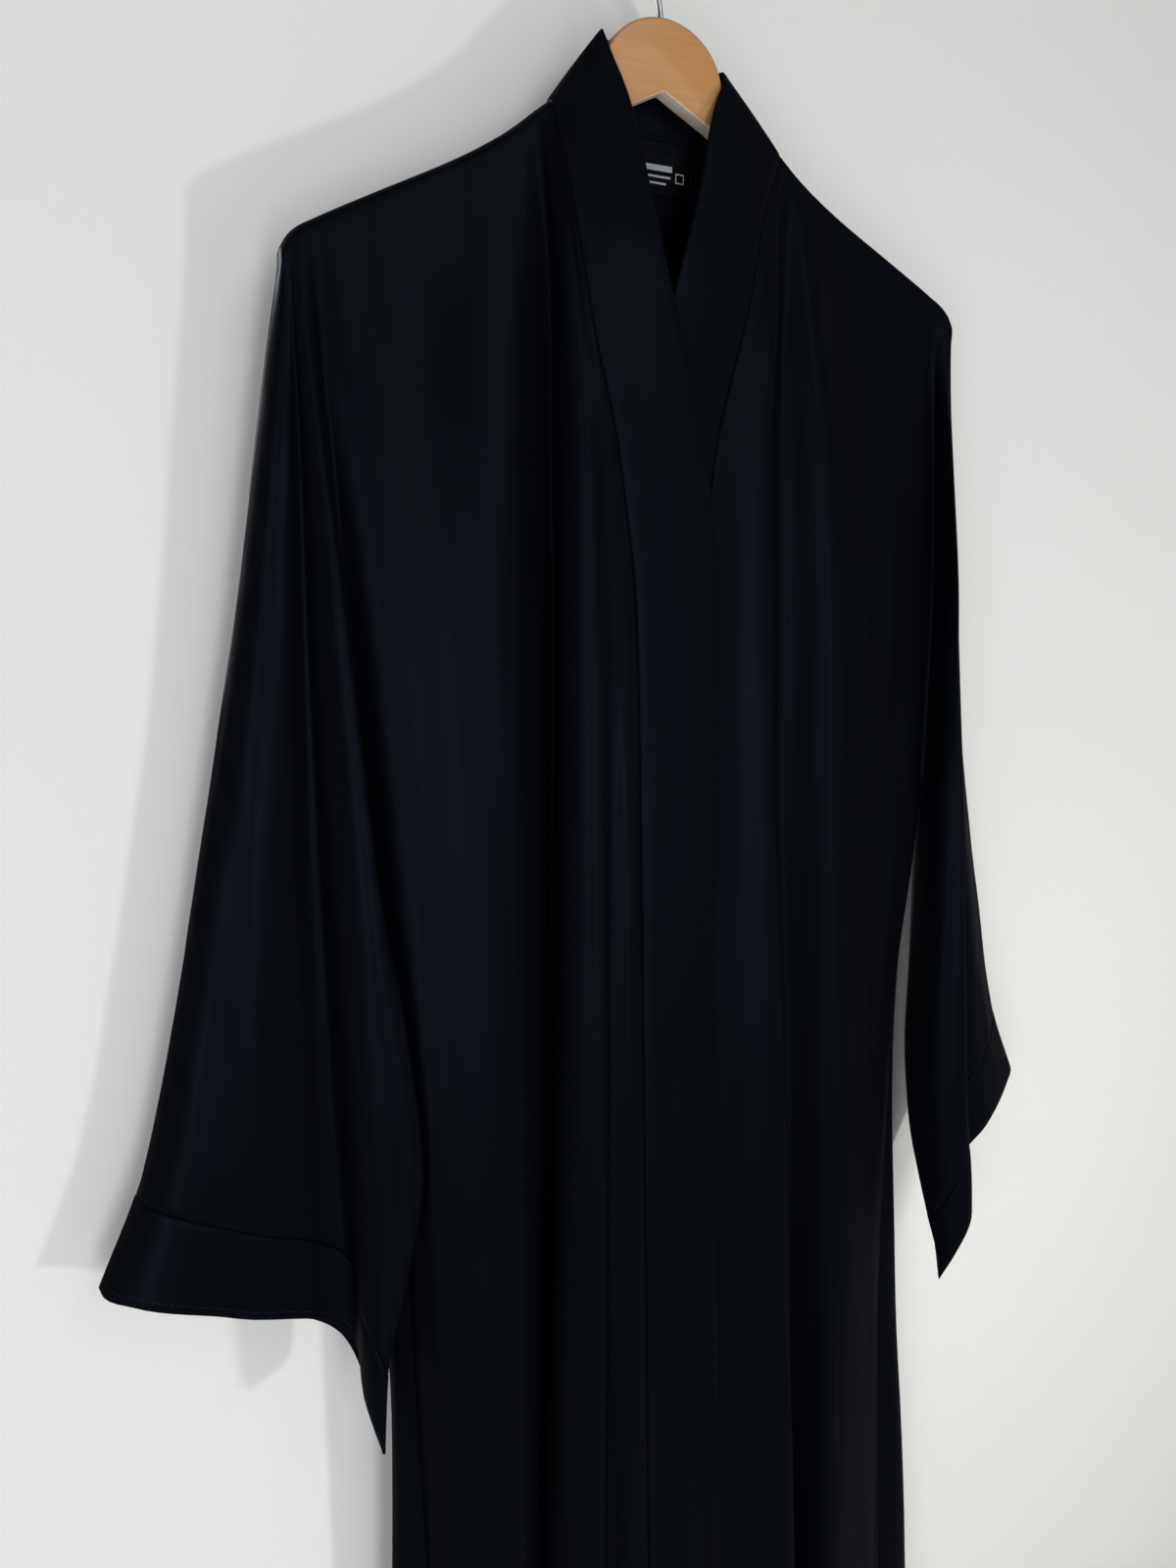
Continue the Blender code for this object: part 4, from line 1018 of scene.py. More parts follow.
def weave_group():
    """Crepe weave: crossing threads with a pebbled twist, from a place on the cloth in metres."""
    group, given, out = new_group("Fine weave", {"Thread": 0.0005}, ("Height", "Pebble"))
    split = parts_of(group, given["Place"])
    turns = maths(group, "DIVIDE", math.tau, given["Thread"])
    across_threads = maths(group, "SINE", maths(group, "MULTIPLY", split[0], turns))
    down_threads = maths(group, "SINE", maths(group, "MULTIPLY", split[1], turns))
    crossing = maths(group, "MULTIPLY", across_threads, down_threads)
    pebble = clouds(group, given["Place"], maths(group, "DIVIDE", 0.4, given["Thread"]), 3.0)
    group.links.new(maths(group, "MULTIPLY_ADD", crossing, 0.2, pebble), out["Height"])
    group.links.new(pebble, out["Pebble"])
    return group


def streak_group():
    """Soft uneven streaks that run down the cloth."""
    group, given, out = new_group("Soft streaks", {"Width": 0.02, "Length": 0.3}, ("Value",))
    split = parts_of(group, given["Place"])
    across_cloth = maths(group, "DIVIDE", split[0], given["Width"])
    down_cloth = maths(group, "DIVIDE", split[1], given["Length"])
    place = add_node(group, "ShaderNodeCombineXYZ", {0: across_cloth, 1: down_cloth}).outputs[0]
    group.links.new(band(group, clouds(group, place, 1.0, 3.0), 0.3, 0.7), out["Value"])
    return group


def grain_group():
    """Beech grain along X, with the short dark flecks that beech has."""
    group, given, out = new_group("Beech grain", {"Spacing": 0.004}, ("Grain", "Fleck"))
    size = maths(group, "DIVIDE", 1.0, given["Spacing"])
    slow = stretched(group, given["Place"], (0.09, 1.0, 1.0))
    group.links.new(clouds(group, slow, size, 4.0, 0.6), out["Grain"])
    short = stretched(group, given["Place"], (0.28, 1.0, 1.0))
    cells = {"Vector": short, "Scale": maths(group, "MULTIPLY", size, 3.0)}
    fleck = add_node(group, "ShaderNodeTexVoronoi", cells).outputs["Distance"]
    group.links.new(band(group, fleck, 0.24, 0.05), out["Fleck"])
    return group


def rub_group():
    """Uneven rubbing and handling marks."""
    group, given, out = new_group("Handling marks", {"Size": 0.02}, ("Mark",))
    scale = maths(group, "DIVIDE", 1.0, given["Size"])
    group.links.new(band(group, clouds(group, given["Place"], scale, 5.0), 0.42, 0.68), out["Mark"])
    return group


EFFECTS = {
    "Fine weave": weave_group,
    "Soft streaks": streak_group,
    "Beech grain": grain_group,
    "Handling marks": rub_group,
}


def effect(tree, name, place, **sizes):
    """Outputs of one use of a shared effect, which is built the first time that it is asked for."""
    made = tree.nodes.new("ShaderNodeGroup")
    made.node_tree = bpy.data.node_groups.get(name) or EFFECTS[name]()
    feed(tree, made, {"Place": place, **sizes})
    return made.outputs


def crepe_material(name, colour, thread, shine):
    """Matt black crepe with a faint navy cast and a soft sheen on its folds."""
    made, tree, shader = new_material(name)
    place = add_node(tree, "ShaderNodeUVMap", uv_map="Cloth").outputs[0]
    weave = effect(tree, "Fine weave", place, Thread=thread)
    streak = effect(tree, "Soft streaks", place, Width=0.016, Length=0.35)["Value"]
    rub = effect(tree, "Handling marks", place, Size=0.06)["Mark"]
    base = mix_colour(tree, streak, scaled(colour, 0.82), scaled(colour, 1.16))
    base = mix_colour(tree, maths(tree, "MULTIPLY", weave["Pebble"], 0.35), base, scaled(colour, 1.6))
    rough = maths(tree, "MULTIPLY_ADD", weave["Pebble"], 0.1, 0.38)
    inputs = {
        "Base Color": mix_colour(tree, maths(tree, "MULTIPLY", rub, 0.02), base, (0.01, 0.011, 0.013)),
        "Roughness": maths(tree, "MULTIPLY_ADD", streak, -0.06, rough),
        "Normal": bump(tree, weave["Height"], 0.28, 0.0001),
        "Specular IOR Level": shine,
        "Specular Tint": (0.55, 0.75, 1.0, 1.0),
        "Sheen Weight": 0.003,
        "Sheen Roughness": 0.25,
        "Sheen Tint": (0.6, 0.78, 1.0, 1.0),
    }
    feed(tree, shader, inputs)
    return made


def thread_material(name, colour):
    """Twisted sewing thread."""
    made, tree, shader = new_material(name)
    waves = {"Vector": object_place(tree), "Scale": 900.0, "Distortion": 1.5}
    twist = add_node(tree, "ShaderNodeTexWave", waves, bands_direction="DIAGONAL").outputs["Fac"]
    inputs = {
        "Base Color": mix_colour(tree, twist, scaled(colour, 0.6), scaled(colour, 1.5)),
        "Roughness": maths(tree, "MULTIPLY_ADD", twist, 0.15, 0.4),
        "Normal": bump(tree, twist, 0.4, 0.0001),
        "Specular IOR Level": 0.25,
    }
    feed(tree, shader, inputs)
    return made


RIB_SPACING = 0.0005
YARN_SPACING = 0.0007
# Bars of the label, woven except the lowest, which is a painted strip of satin sheen: x and height of the
# middle, half-width and half-height, and half the width of the line where the bar is hollow
LABEL_BARS = (
    (-1.5, -137.3, 14.5, 1.6, 0.0),
    (-1.0, -142.0, 13.0, 0.6, 0.0),
    (-2.0, -145.6, 11.0, 0.6, 0.0),
    (18.3, -141.6, 2.6, 2.4, 0.3),
)


def woven_bars_and_sheen(tree, across_label, up_label):
    """1 on the bars of the label and on its strip of painted sheen, and 0 beside them."""
    line = 0.0
    for place_x, place_z, half_x, half_z, hollow in LABEL_BARS:
        beside = maths(tree, "ABSOLUTE", maths(tree, "SUBTRACT", across_label, place_x * MM))
        above = maths(tree, "ABSOLUTE", maths(tree, "SUBTRACT", up_label, place_z * MM))
        beyond_x = maths(tree, "SUBTRACT", beside, half_x * MM)
        beyond_z = maths(tree, "SUBTRACT", above, half_z * MM)
        edge = maths(tree, "MAXIMUM", beyond_x, beyond_z)
        if hollow:
            edge = maths(tree, "SUBTRACT", maths(tree, "ABSOLUTE", edge), hollow * MM)
        line = maths(tree, "MAXIMUM", line, band(tree, edge, 0.0001, -0.0001))
    return line


def label_material(name, colour, line_and_sheen_colour):
    """Satin label: fine ribs, plain woven bars, a strip of painted sheen, a small square, and nothing written
    on it.
    """
    made, tree, shader = new_material(name)
    across_label, _, up_label = parts_of(tree, object_place(tree))
    ribs = maths(tree, "SINE", maths(tree, "MULTIPLY", up_label, math.tau / RIB_SPACING))
    yarns = maths(tree, "SINE", maths(tree, "MULTIPLY", across_label, math.tau / YARN_SPACING))
    weave = maths(tree, "MULTIPLY_ADD", yarns, 0.4, ribs)
    worn = band(tree, weave, -1.2, 0.4, 0.55, 1.0)
    line = maths(tree, "MULTIPLY", woven_bars_and_sheen(tree, across_label, up_label), worn)
    base = mix_colour(tree, band(tree, weave, -1.4, 1.4), scaled(colour, 0.7), scaled(colour, 1.6))
    inputs = {
        "Base Color": mix_colour(tree, line, base, line_and_sheen_colour),
        "Roughness": band(tree, weave, -1.4, 1.4, 0.32, 0.45),
        "Normal": bump(tree, weave, 0.3, 0.00008),
        "Specular IOR Level": 0.06,
    }
    feed(tree, shader, inputs)
    return made


def beech_material(name, colour, coat, rough, grain_depth):
    """Beech with its grain along the arms; coated on the faces, bare where it was sawn."""
    made, tree, shader = new_material(name)
    place = object_place(tree)
    wood = effect(tree, "Beech grain", place, Spacing=0.0026)
    rub = effect(tree, "Handling marks", place, Size=0.03)["Mark"]
    tone = band(tree, wood["Grain"], 0.34, 0.66)
    base = mix_colour(tree, tone, scaled(colour, 0.95), scaled(colour, 1.04))
    base = mix_colour(tree, maths(tree, "MULTIPLY", wood["Fleck"], 0.3), base, scaled(colour, 0.66))
    inputs = {
        "Base Color": mix_colour(tree, maths(tree, "MULTIPLY", rub, 0.12), base, scaled(colour, 0.8)),
        "Roughness": maths(tree, "MULTIPLY_ADD", rub, 0.12, rough),
        "Normal": bump(tree, wood["Grain"], grain_depth, 0.0003),
        "Coat Weight": coat,
        "Coat Roughness": 0.25,
        "Specular IOR Level": 0.4,
    }
    feed(tree, shader, inputs)
    return made


def wire_material(name, colour):
    """Bright drawn steel with fine marks along it and a little dulling."""
    made, tree, shader = new_material(name)
    place = object_place(tree)
    marks = clouds(tree, stretched(tree, place, (1.0, 1.0, 0.05)), 2600.0, 2.0)
    rub = effect(tree, "Handling marks", place, Size=0.008)["Mark"]
    inputs = {
        "Base Color": mix_colour(tree, rub, scaled(colour, 0.78), colour),
        "Roughness": maths(tree, "MULTIPLY_ADD", rub, 0.16, 0.2),
        "Normal": bump(tree, marks, 0.25, 0.00005),
        "Metallic": 1.0,
    }
    feed(tree, shader, inputs)
    return made


def paint_material(name, colour):
    """Matt wall or floor paint with a faint roller texture."""
    made, tree, shader = new_material(name)
    place = object_place(tree)
    roller = clouds(tree, place, 240.0, 3.0)
    cloud = band(tree, clouds(tree, place, 1.4, 2.0), 0.3, 0.7)
    inputs = {
        "Base Color": mix_colour(tree, cloud, scaled(colour, 0.985), scaled(colour, 1.01)),
        "Roughness": band(tree, roller, 0.3, 0.7, 0.8, 0.9),
        "Normal": bump(tree, roller, 0.08, 0.0005),
        "Specular IOR Level": 0.15,
    }
    feed(tree, shader, inputs)
    return made


def wall_material(colour):
    """Wall paint that fades away towards the borders of the wall and can't be seen from behind."""
    made = paint_material("Wall paint", colour)
    tree = made.node_tree
    across_wall, _, up_wall = parts_of(tree, object_place(tree))
    away_x = maths(tree, "ABSOLUTE", across_wall)
    away_z = maths(tree, "ABSOLUTE", maths(tree, "ADD", up_wall, WALL_MIDDLE_DROP))
    shown = band(tree, maths(tree, "MAXIMUM", away_x, away_z), WALL_FADE_END, WALL_FADE_START)
    front = maths(tree, "SUBTRACT", 1.0, add_node(tree, "ShaderNodeNewGeometry").outputs["Backfacing"])
    alpha = maths(tree, "MULTIPLY", shown, front)
    tree.links.new(alpha, tree.nodes["Principled BSDF"].inputs["Alpha"])
    return made


# Settings that a user would change

Length = partial(bpy.props.FloatProperty, precision=5, subtype="DISTANCE", unit="LENGTH")
Power = partial(bpy.props.FloatProperty, min=0.0, max=500.0, unit="POWER")
Colour = partial(bpy.props.FloatVectorProperty, min=0.0, max=1.0, size=3, subtype="COLOR")


class AbayaClothSettings(bpy.types.PropertyGroup):
    thickness: Length(
        name="Cloth thickness",
        description="Thickness of one layer of the crepe",
        default=0.0009,
        min=0.0003,
        max=0.0016,
    )
    band_thickness: Length(
        name="Neckband thickness",
        description="Thickness of the doubled cloth of the neckband; the cuffs are a little thinner",
        default=0.0019,
        min=0.0006,
        max=0.0022,
    )
    seam_dip: Length(
        name="Seam dip",
        description="How far the pressed seams lie below the cloth beside them",
        default=0.0005,
        min=0.0,
        max=0.001,
    )
    slack: Length(
        name="Slack",
        description="Height of the slow unevenness of the hanging cloth",
        default=0.0006,
        min=0.0,
        max=0.003,
    )
    colour: Colour(
        name="Crepe colour",
        description="Colour of the crepe",
        default=(0.0018, 0.0023, 0.0037),
    )
    thread: Length(
        name="Thread spacing",
        description="Distance between neighbouring threads of the weave",
        default=0.0005,
        min=0.0002,
        max=0.003,
    )
    shine: bpy.props.FloatProperty(
        name="Shine",
        description="Strength of the soft shine of the crepe",
        default=0.05,
        min=0.0,
        max=1.0,
    )


class AbayaSewingSettings(bpy.types.PropertyGroup):
    stitch_length: Length(
        name="Stitch length",
        description="Length of one stitch with the space after it",
        default=0.0034,
        min=0.002,
        max=0.01,
    )
    thread_width: Length(
        name="Thread width",
        description="Width of the sewing thread",
        default=0.00042,
        min=0.0002,
        max=0.001,
    )
    colour: Colour(
        name="Thread colour",
        description="Colour of the sewing thread",
        default=(0.010, 0.011, 0.014),
    )
    label_colour: Colour(
        name="Label colour",
        description="Colour of the woven label",
        default=(0.0022, 0.0025, 0.0033),
    )
    # This colour also paints the strip of satin sheen that is the label's lowest bar.
    line_and_sheen_colour: Colour(
        name="Label line colour",
        description="Colour of the plain bars and the small square woven into the label",
        default=(0.50, 0.52, 0.55),
    )


class AbayaHangerSettings(bpy.types.PropertyGroup):
    depth: Length(
        name="Board thickness",
        description="Thickness of the hanger's board",
        default=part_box("hanger_body")[1].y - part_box("hanger_body")[0].y,
        min=0.006,
        max=0.0125,
    )
    edge: Length(
        name="Rounded edge",
        description="Radius of the sanded edge round the board",
        default=0.0016,
        min=0.0003,
        max=0.003,
    )
    face_colour: Colour(
        name="Varnished beech",
        description="Colour of the varnished faces",
        default=(0.50, 0.238, 0.08),
    )
    # Paler than the bare wood alone: partly the colour of sawn beech and partly painted light, standing in
    # for the light that reaches the hanger's underside from below.
    sawn_colour_painted_lighter: Colour(
        name="Sawn beech, painted lighter",
        description="Colour of the bare sawn edges",
        default=(0.72, 0.60, 0.48),
    )
    steel_colour: Colour(
        name="Steel",
        description="Colour of the hook's steel",
        default=(0.60, 0.61, 0.63),
    )


class AbayaStageSettings(bpy.types.PropertyGroup):
    wall_gap: Length(
        name="Wall distance",
        description="Distance of the wall behind the middle of the hanger",
        default=0.042,
        min=0.04,
        max=1.0,
    )
    floor_drop: Length(
        name="Floor drop",
        description="Distance of the floor below the hook",
        default=1.75,
        min=1.6,
        max=3.0,
    )
    paint: Colour(
        name="Paint",
        description="Colour of the wall and the floor",
        default=(0.80, 0.795, 0.77),
    )
    key_power: Power(
        name="Key light",
        description="Power of the small light that throws the shadow on the wall",
        default=4.4,
    )
    fill_power: Power(
        name="Window light",
        description="Power of the soft light from the left; the other soft lights follow it",
        default=15.5,
    )


# Cloth

FLAT_SIZES = {
    # piece: width and length of the cut in metres, and its area where it isn't a rectangle
    "back": ((0.72, 1.43), 0.777),
    "front_left": ((0.40, 1.43), 0.340),
    "front_right": ((0.41, 1.43), 0.356),
    "cuff_left": ((0.373, 0.053), None),
    "cuff_right": ((0.267, 0.053), None),
    "neckband": ((2.95, 0.0515), None),
}
DOUBLED = ("cuff", "neckband")
CUFF_WALL_SHARE = 0.8
SEAM_GAP = 0.16
BAND_MIDDLE = 4
BAND_CREASE_SHARE = 0.6
BAND_FULLNESS = 2.6


def run_of(row, start, end):
    """Length of a row of points from one column to another."""
    return sum((b - a).length for a, b in zip(row[start:end], row[start + 1 : end + 1]))


def add_sides(cloth, fronts, back, back_arms):
    """Adds each side's front, the back of its sleeve and its cuff."""
    split = fronts[0]["split"]
    line = back["upper"][-1]
    middle = len(line) // 2
    runs = (-run_of(line, split, middle), run_of(line, middle, len(line) - split))
    for side, front, arms, run in zip(("left", "right"), fronts, back_arms, runs):
        right = side == "right"
        cloth.add("front_" + side, front["upper"], right, split)
        cloth.add("front_" + side, front["arm"], right, split)
        cloth.add("front_" + side, front["trunk"], right)
        cloth.add("back", arms["arm"], not right, split, run, -1 if right else 1)
        cloth.add("cuff_" + side, front["cuff"], right, split)
        cloth.add("cuff_" + side, arms["cuff"], not right, split, 0.0, -1)
        for block in (front["cuff"], arms["cuff"], front["trunk"]):
            cloth.thin_edge(block)


def add_neckband(cloth, band_rows):
    """Adds the neckband and lays it flat: across it, and along it from hem to hem."""
    cloth.add("neckband", band_rows, True)
    run = 0.0
    before = band_rows[0]
    for row in band_rows:
        run += (row[BAND_MIDDLE] - before[BAND_MIDDLE]).length
        across_band = 0.0
        for k, point in enumerate(row):
            across_band += (point - row[max(k - 1, 0)]).length
            cloth.flat["neckband"][cloth.number(point)] = (across_band, run)
        before = row
    cloth.thin_edge(list(zip(*band_rows)))


def add_relief(cloth, slack):
    """Presses the creases into every piece and lets it hang a little unevenly."""
    for name in cloth.pieces:
        amount = slack * (0.5 if name.startswith(DOUBLED) else 1.0)

        def height(point, place, name=name, amount=amount):
            fade = BAND_CREASE_SHARE if name == "neckband" else shoulder_fade(point)
            return fade * (crease_height(name, point) + slack_height(place, amount))

        cloth.lift(name, height)


def fill_band(cloth, band_rows):
    """Rounds the neckband a little across its width, as doubled cloth is."""
    for row in band_rows:
        width = (row[-1] - row[0]).length
        for point in row[1:-1]:
            share = (point - row[0]).length / width
            cloth.rise[cloth.number(point)] += BAND_FULLNESS * share * (1 - share)


def stitched_rows(fronts, back, back_arms, band_rows):
    """Rows that are sewn: place, whether the cloth is doubled there, and points."""
    hem = -1 - len(HEM_TAIL) - HEM_LINES
    cuff = -1 - len(HEM_TAIL) - CUFF_LINES
    rows = [("hem", False, block["trunk"][hem]) for block in (*fronts, back)]
    rows += [("hem", True, band_rows[hem]), ("hem", True, band_rows[-hem - 1])]
    return rows + [("cuff", True, block["cuff"][cuff]) for block in (*fronts, *back_arms)]


@lru_cache(maxsize=1)
def cut_cloth(seam_dip, slack):
    """The whole cloth on its fine grid, with seams, creases and slack, before the walls are made."""
    left = front_rows(FRONT_LEFT_SLEEVE, FRONT_LEFT_BODY)
    fronts = [left, front_rows(FRONT_RIGHT_SLEEVE, FRONT_RIGHT_BODY)]
    back, back_arms = back_rows(fronts)
    band_rows = neckband_rows(fronts, back)
    middle = len(back["upper"][0]) // 2
    cloth = Cloth()
    add_sides(cloth, fronts, back, back_arms)
    cloth.add("back", back["upper"], True, middle)
    cloth.add("back", back["trunk"], True, middle - left["split"])
    cloth.thin_edge(back["trunk"])
    add_neckband(cloth, band_rows)
    cloth.find_normals()
    cloth.dip_seams(seam_dip)
    add_relief(cloth, slack)
    fill_band(cloth, band_rows)
    return cloth, stitched_rows(fronts, back, back_arms, band_rows)


def cloth_now(context):
    settings = context.scene.abaya_cloth
    return cut_cloth(round(settings.seam_dip / MM, 4), round(settings.slack / MM, 4))


def wall_of(settings, is_double, is_cuff):
    """Thickness of the cloth in millimetres."""
    wall = settings.band_thickness if is_double else settings.thickness
    return wall / MM * (CUFF_WALL_SHARE if is_cuff else 1.0)


class ABAYA_OT_cloth(bpy.types.Operator):
    """Sews the two fronts, the back, the cuffs and the neckband as thin closed shells"""

    bl_idname = "abaya.cloth"
    bl_label = "Sew the cloth"

    def execute(self, context):
        settings = context.scene.abaya_cloth
        cloth, _ = cloth_now(context)
        single = crepe_material("Black crepe", settings.colour, settings.thread, settings.shine)
        # The doubled crepe is painted 4% lighter than the single layer. This is painted light, standing in
        # for the light that the cuffs and the neckband catch.
        doubled = crepe_material(
            "Black crepe, doubled, painted lighter", scaled(settings.colour, 1.04), settings.thread, settings.shine
        )
        for name, (flat, area) in FLAT_SIZES.items():
            is_double = name.startswith(DOUBLED)
            piece = cloth.build(name, wall_of(settings, is_double, name.startswith("cuff")), SEAM_GAP)
            piece.name = name + "_cloth"
            dress(piece, doubled if is_double else single)
            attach(piece, "root")
            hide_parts(name)
        return {"FINISHED"}


# Shape of a stitch: how much of its step the thread shows, and how flat it is pulled
STITCH_SHOWN = 0.74
STITCH_FLATNESS = 0.8


def template_stitch(length, width):
    """Points and faces of one plump stitch along X, from a small ball."""
    clear_selection()
    bpy.ops.mesh.primitive_uv_sphere_add(segments=6, ring_count=4, radius=0.5)
    ball = bpy.context.object
    ball.rotation_euler = (0, math.pi / 2, 0)
    place_in_mesh(ball)
    ball.scale = (length * STITCH_SHOWN, width, width * STITCH_FLATNESS)
    place_in_mesh(ball)
    points = [vertex.co.copy() for vertex in ball.data.vertices]
    faces = [tuple(face.vertices) for face in ball.data.polygons]
    bpy.data.objects.remove(ball, do_unlink=True)
    return points, faces


def spots_along(path, step):
    """Places a step apart along a path of (point, normal), each with its direction."""
    spots = []
    left = step / 2
    for (a, normal_a), (b, normal_b) in zip(path, path[1:]):
        length = (b - a).length
        if length < 1e-6:
            continue
        while left <= length:
            share = left / length
            spots.append((a.lerp(b, share), normal_a.lerp(normal_b, share).normalized(), (b - a) / length))
            left += step
        left -= length
    return spots


def stitch_mesh(name, spots, length, width):
    """One mesh of many stitches, sizes in millimetres."""
    shape, sides = template_stitch(length, width)
    points = []
    faces = []
    for place, normal, along in spots:
        side = normal.cross(along).normalized()
        up = along.cross(side)
        turn = Matrix((along, side, up)).transposed()
        start = len(points)
        points += [place + turn @ point for point in shape]
        faces += [tuple(start + i for i in face) for face in sides]
    return mesh_object(name, points, faces)


class ABAYA_OT_stitching(bpy.types.Operator):
    """Sews the hem and the edges of the cuffs with fine black thread"""

    bl_idname = "abaya.stitching"
    bl_label = "Stitch the hems"

    def execute(self, context):
        sewing = context.scene.abaya_sewing
        settings = context.scene.abaya_cloth
        cloth, sewn = cloth_now(context)
        thread = thread_material("Black thread", sewing.colour)
        step = sewing.stitch_length / MM
        for place, name in (("hem", "hem_stitches"), ("cuff", "cuff_stitches")):
            spots = []
            for where, is_double, row in sewn:
                if where == place:
                    wall = wall_of(settings, is_double, place == "cuff")
                    spots += spots_along([cloth.surface(point, wall) for point in row[1:-1]], step)
            piece = stitch_mesh(name, spots, step, sewing.thread_width / MM)
            dress(piece, thread)
            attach(piece, "root")
        return {"FINISHED"}


# Sizes of the label, in metres
LABEL_WALL = 0.0005
LABEL_EDGE = 0.00018
LABEL_STAND = 0.00055
LABEL_BELLY = 0.0007
LABEL_STITCH_INSET = 0.0012
LABEL_STITCH_MARGIN = 0.001
LABEL_GRID = (54, 24)
# Its stitches, in millimetres
LABEL_STITCH_STEP = 2.3
LABEL_STITCH_WIDTH = 0.4


def lay_on_back(label, back, low, high, context):
    """Lays a flat grid on the inside of the back, with a slight belly towards its lower edge."""
    wall = BVHTree.FromObject(back, context.evaluated_depsgraph_get())
    for vertex in label.data.vertices:
        across_label = (vertex.co.x - low.x) / (high.x - low.x)
        down_label = (high.z - vertex.co.z) / (high.z - low.z)
        hit = wall.ray_cast(Vector((vertex.co.x, -0.002, vertex.co.z)), Vector((0, 1, 0)))[0]
        if hit is None:
            raise RuntimeError("the label has no cloth behind it")
        vertex.co.y = hit.y - LABEL_STAND - LABEL_BELLY * math.sin(math.pi * across_label) * down_label


def label_spots(label, low, high, context):
    """Places of the stitches down both ends of the label."""
    front = BVHTree.FromObject(label, context.evaluated_depsgraph_get())
    top = high.z - LABEL_STITCH_MARGIN
    length = high.z - low.z - 2 * LABEL_STITCH_MARGIN
    spots = []
    for x in (low.x + LABEL_STITCH_INSET, high.x - LABEL_STITCH_INSET):
        path = []
        for k in range(12):
            start = Vector((x, -0.01, top - length * k / 11))
            hit, normal, _, _ = front.ray_cast(start, Vector((0, 1, 0)))
            path.append((hit / MM, normal))
        spots += spots_along(path, LABEL_STITCH_STEP)
    return spots


class ABAYA_OT_label(bpy.types.Operator):
    """Weaves the plain label inside the back of the neck and sews it down at both ends"""

    bl_idname = "abaya.label"
    bl_label = "Make the label"

    def execute(self, context):
        sewing = context.scene.abaya_sewing
        low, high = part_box("neck_label")
        middle = (low + high) / 2
        clear_selection()
        bpy.ops.mesh.primitive_grid_add(
            x_subdivisions=LABEL_GRID[0],
            y_subdivisions=LABEL_GRID[1],
            size=1.0,
            location=(middle.x, 0, middle.z),
            rotation=(math.pi / 2, 0, 0),
        )
        label = context.object
        label.name = "neck_label_woven"
        label.scale = (high.x - low.x, high.z - low.z, 1.0)
        place_in_mesh(label)
        lay_on_back(label, bpy.data.objects["back_cloth"], low, high, context)
        slip = label.modifiers.new("Thickness", "SOLIDIFY")
        slip.thickness = LABEL_WALL
        slip.offset = 0.0
        add_bevel(label, "Soft edge", LABEL_EDGE, 2, 30)
        apply_modifiers(label)
        smooth_by_angle(label, 50)
        dress(label, label_material("Satin label", sewing.label_colour, sewing.line_and_sheen_colour))
        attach(label, "root")
        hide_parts("neck_label")

        spots = label_spots(label, low, high, context)
        stitches = stitch_mesh("label_stitches", spots, LABEL_STITCH_STEP, LABEL_STITCH_WIDTH)
        dress(stitches, thread_material("Label thread", scaled(sewing.colour, 1.6)))
        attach(stitches, "root")
        return {"FINISHED"}


# Hanger

WIRE_RADIUS = 1.6
CROOK_INNER_RADIUS = 20.0
CROOK_START_ANGLE = 235
CROOK_END_ANGLE = -25
CROOK_TURNS = 48
# Shank of the hook: drops of its straight foot, drop where the bend starts, x and height that the bend leans
# to, and length of its straight end
FOOT_DROPS = (77, 70, 65)
BEND_START_DROP = 62
BEND_LEAN = (-0.6, -50)
BEND_END_LENGTH = 9
BEND_STEPS = 12
BORE_TOP_DROP = 60
BORE_DEPTH = 18.0
BORE_RADIUS = 1.95
BORE_OVERSHOOT = 12
DOME_RADIUS = 38.9
DOME_RISE = 35.4
DOME_CENTRE_DROP = 98.9
DOME_STEPS = 36
NOTCH_DROP = 101.0
ARM_HEIGHT = 18.5
CLOTH_TO_ARM = 2.6

# Outline of the right half of the hanger, as x and drop, between the parts that follow the cloth
HANGER_NECK = ((41.5, 102.5), (46, 108.5), (52, 115.5), (57, 120.5), (62, 124), (70.5, 125.6), (78, 127.6))
ARM_TOP_X = (86, 92, *range(100, 201, 10), 208)
HANGER_TIP = (
    (212.5, 201.2),
    (214.3, 203.2),
    (215.5, 205.6),
    (216.3, 208.0),
    (216.6, 210.5),
    (216.1, 213.0),
    (214.8, 215.0),
    (212.3, 216.3),
    (209.0, 216.6),
)
ARM_UNDER_X = (*range(200, 99, -10), 92, 85, 70.5)
HANGER_CROTCH = ((50.0, 126.5), (30.0, 115.6), (12.0, 106.9))


def hanger_outline():
    """Outline of the hanger in x and drop, clockwise from the top of its dome."""
    right = []
    for step in range(DOME_STEPS + 1):
        angle = math.radians(90 - step * 90 / DOME_STEPS)
        right.append((DOME_RADIUS * math.cos(angle), DOME_CENTRE_DROP - DOME_RISE * math.sin(angle)))
    right += HANGER_NECK
    right += [(x, shoulder_drop(x) + CLOTH_TO_ARM) for x in ARM_TOP_X]
    right += HANGER_TIP
    right += [(x, shoulder_drop(x) + CLOTH_TO_ARM + ARM_HEIGHT) for x in ARM_UNDER_X]
    right += HANGER_CROTCH
    left = [(-x, drop) for x, drop in right[:0:-1]]
    return right + [(0.0, NOTCH_DROP)] + left


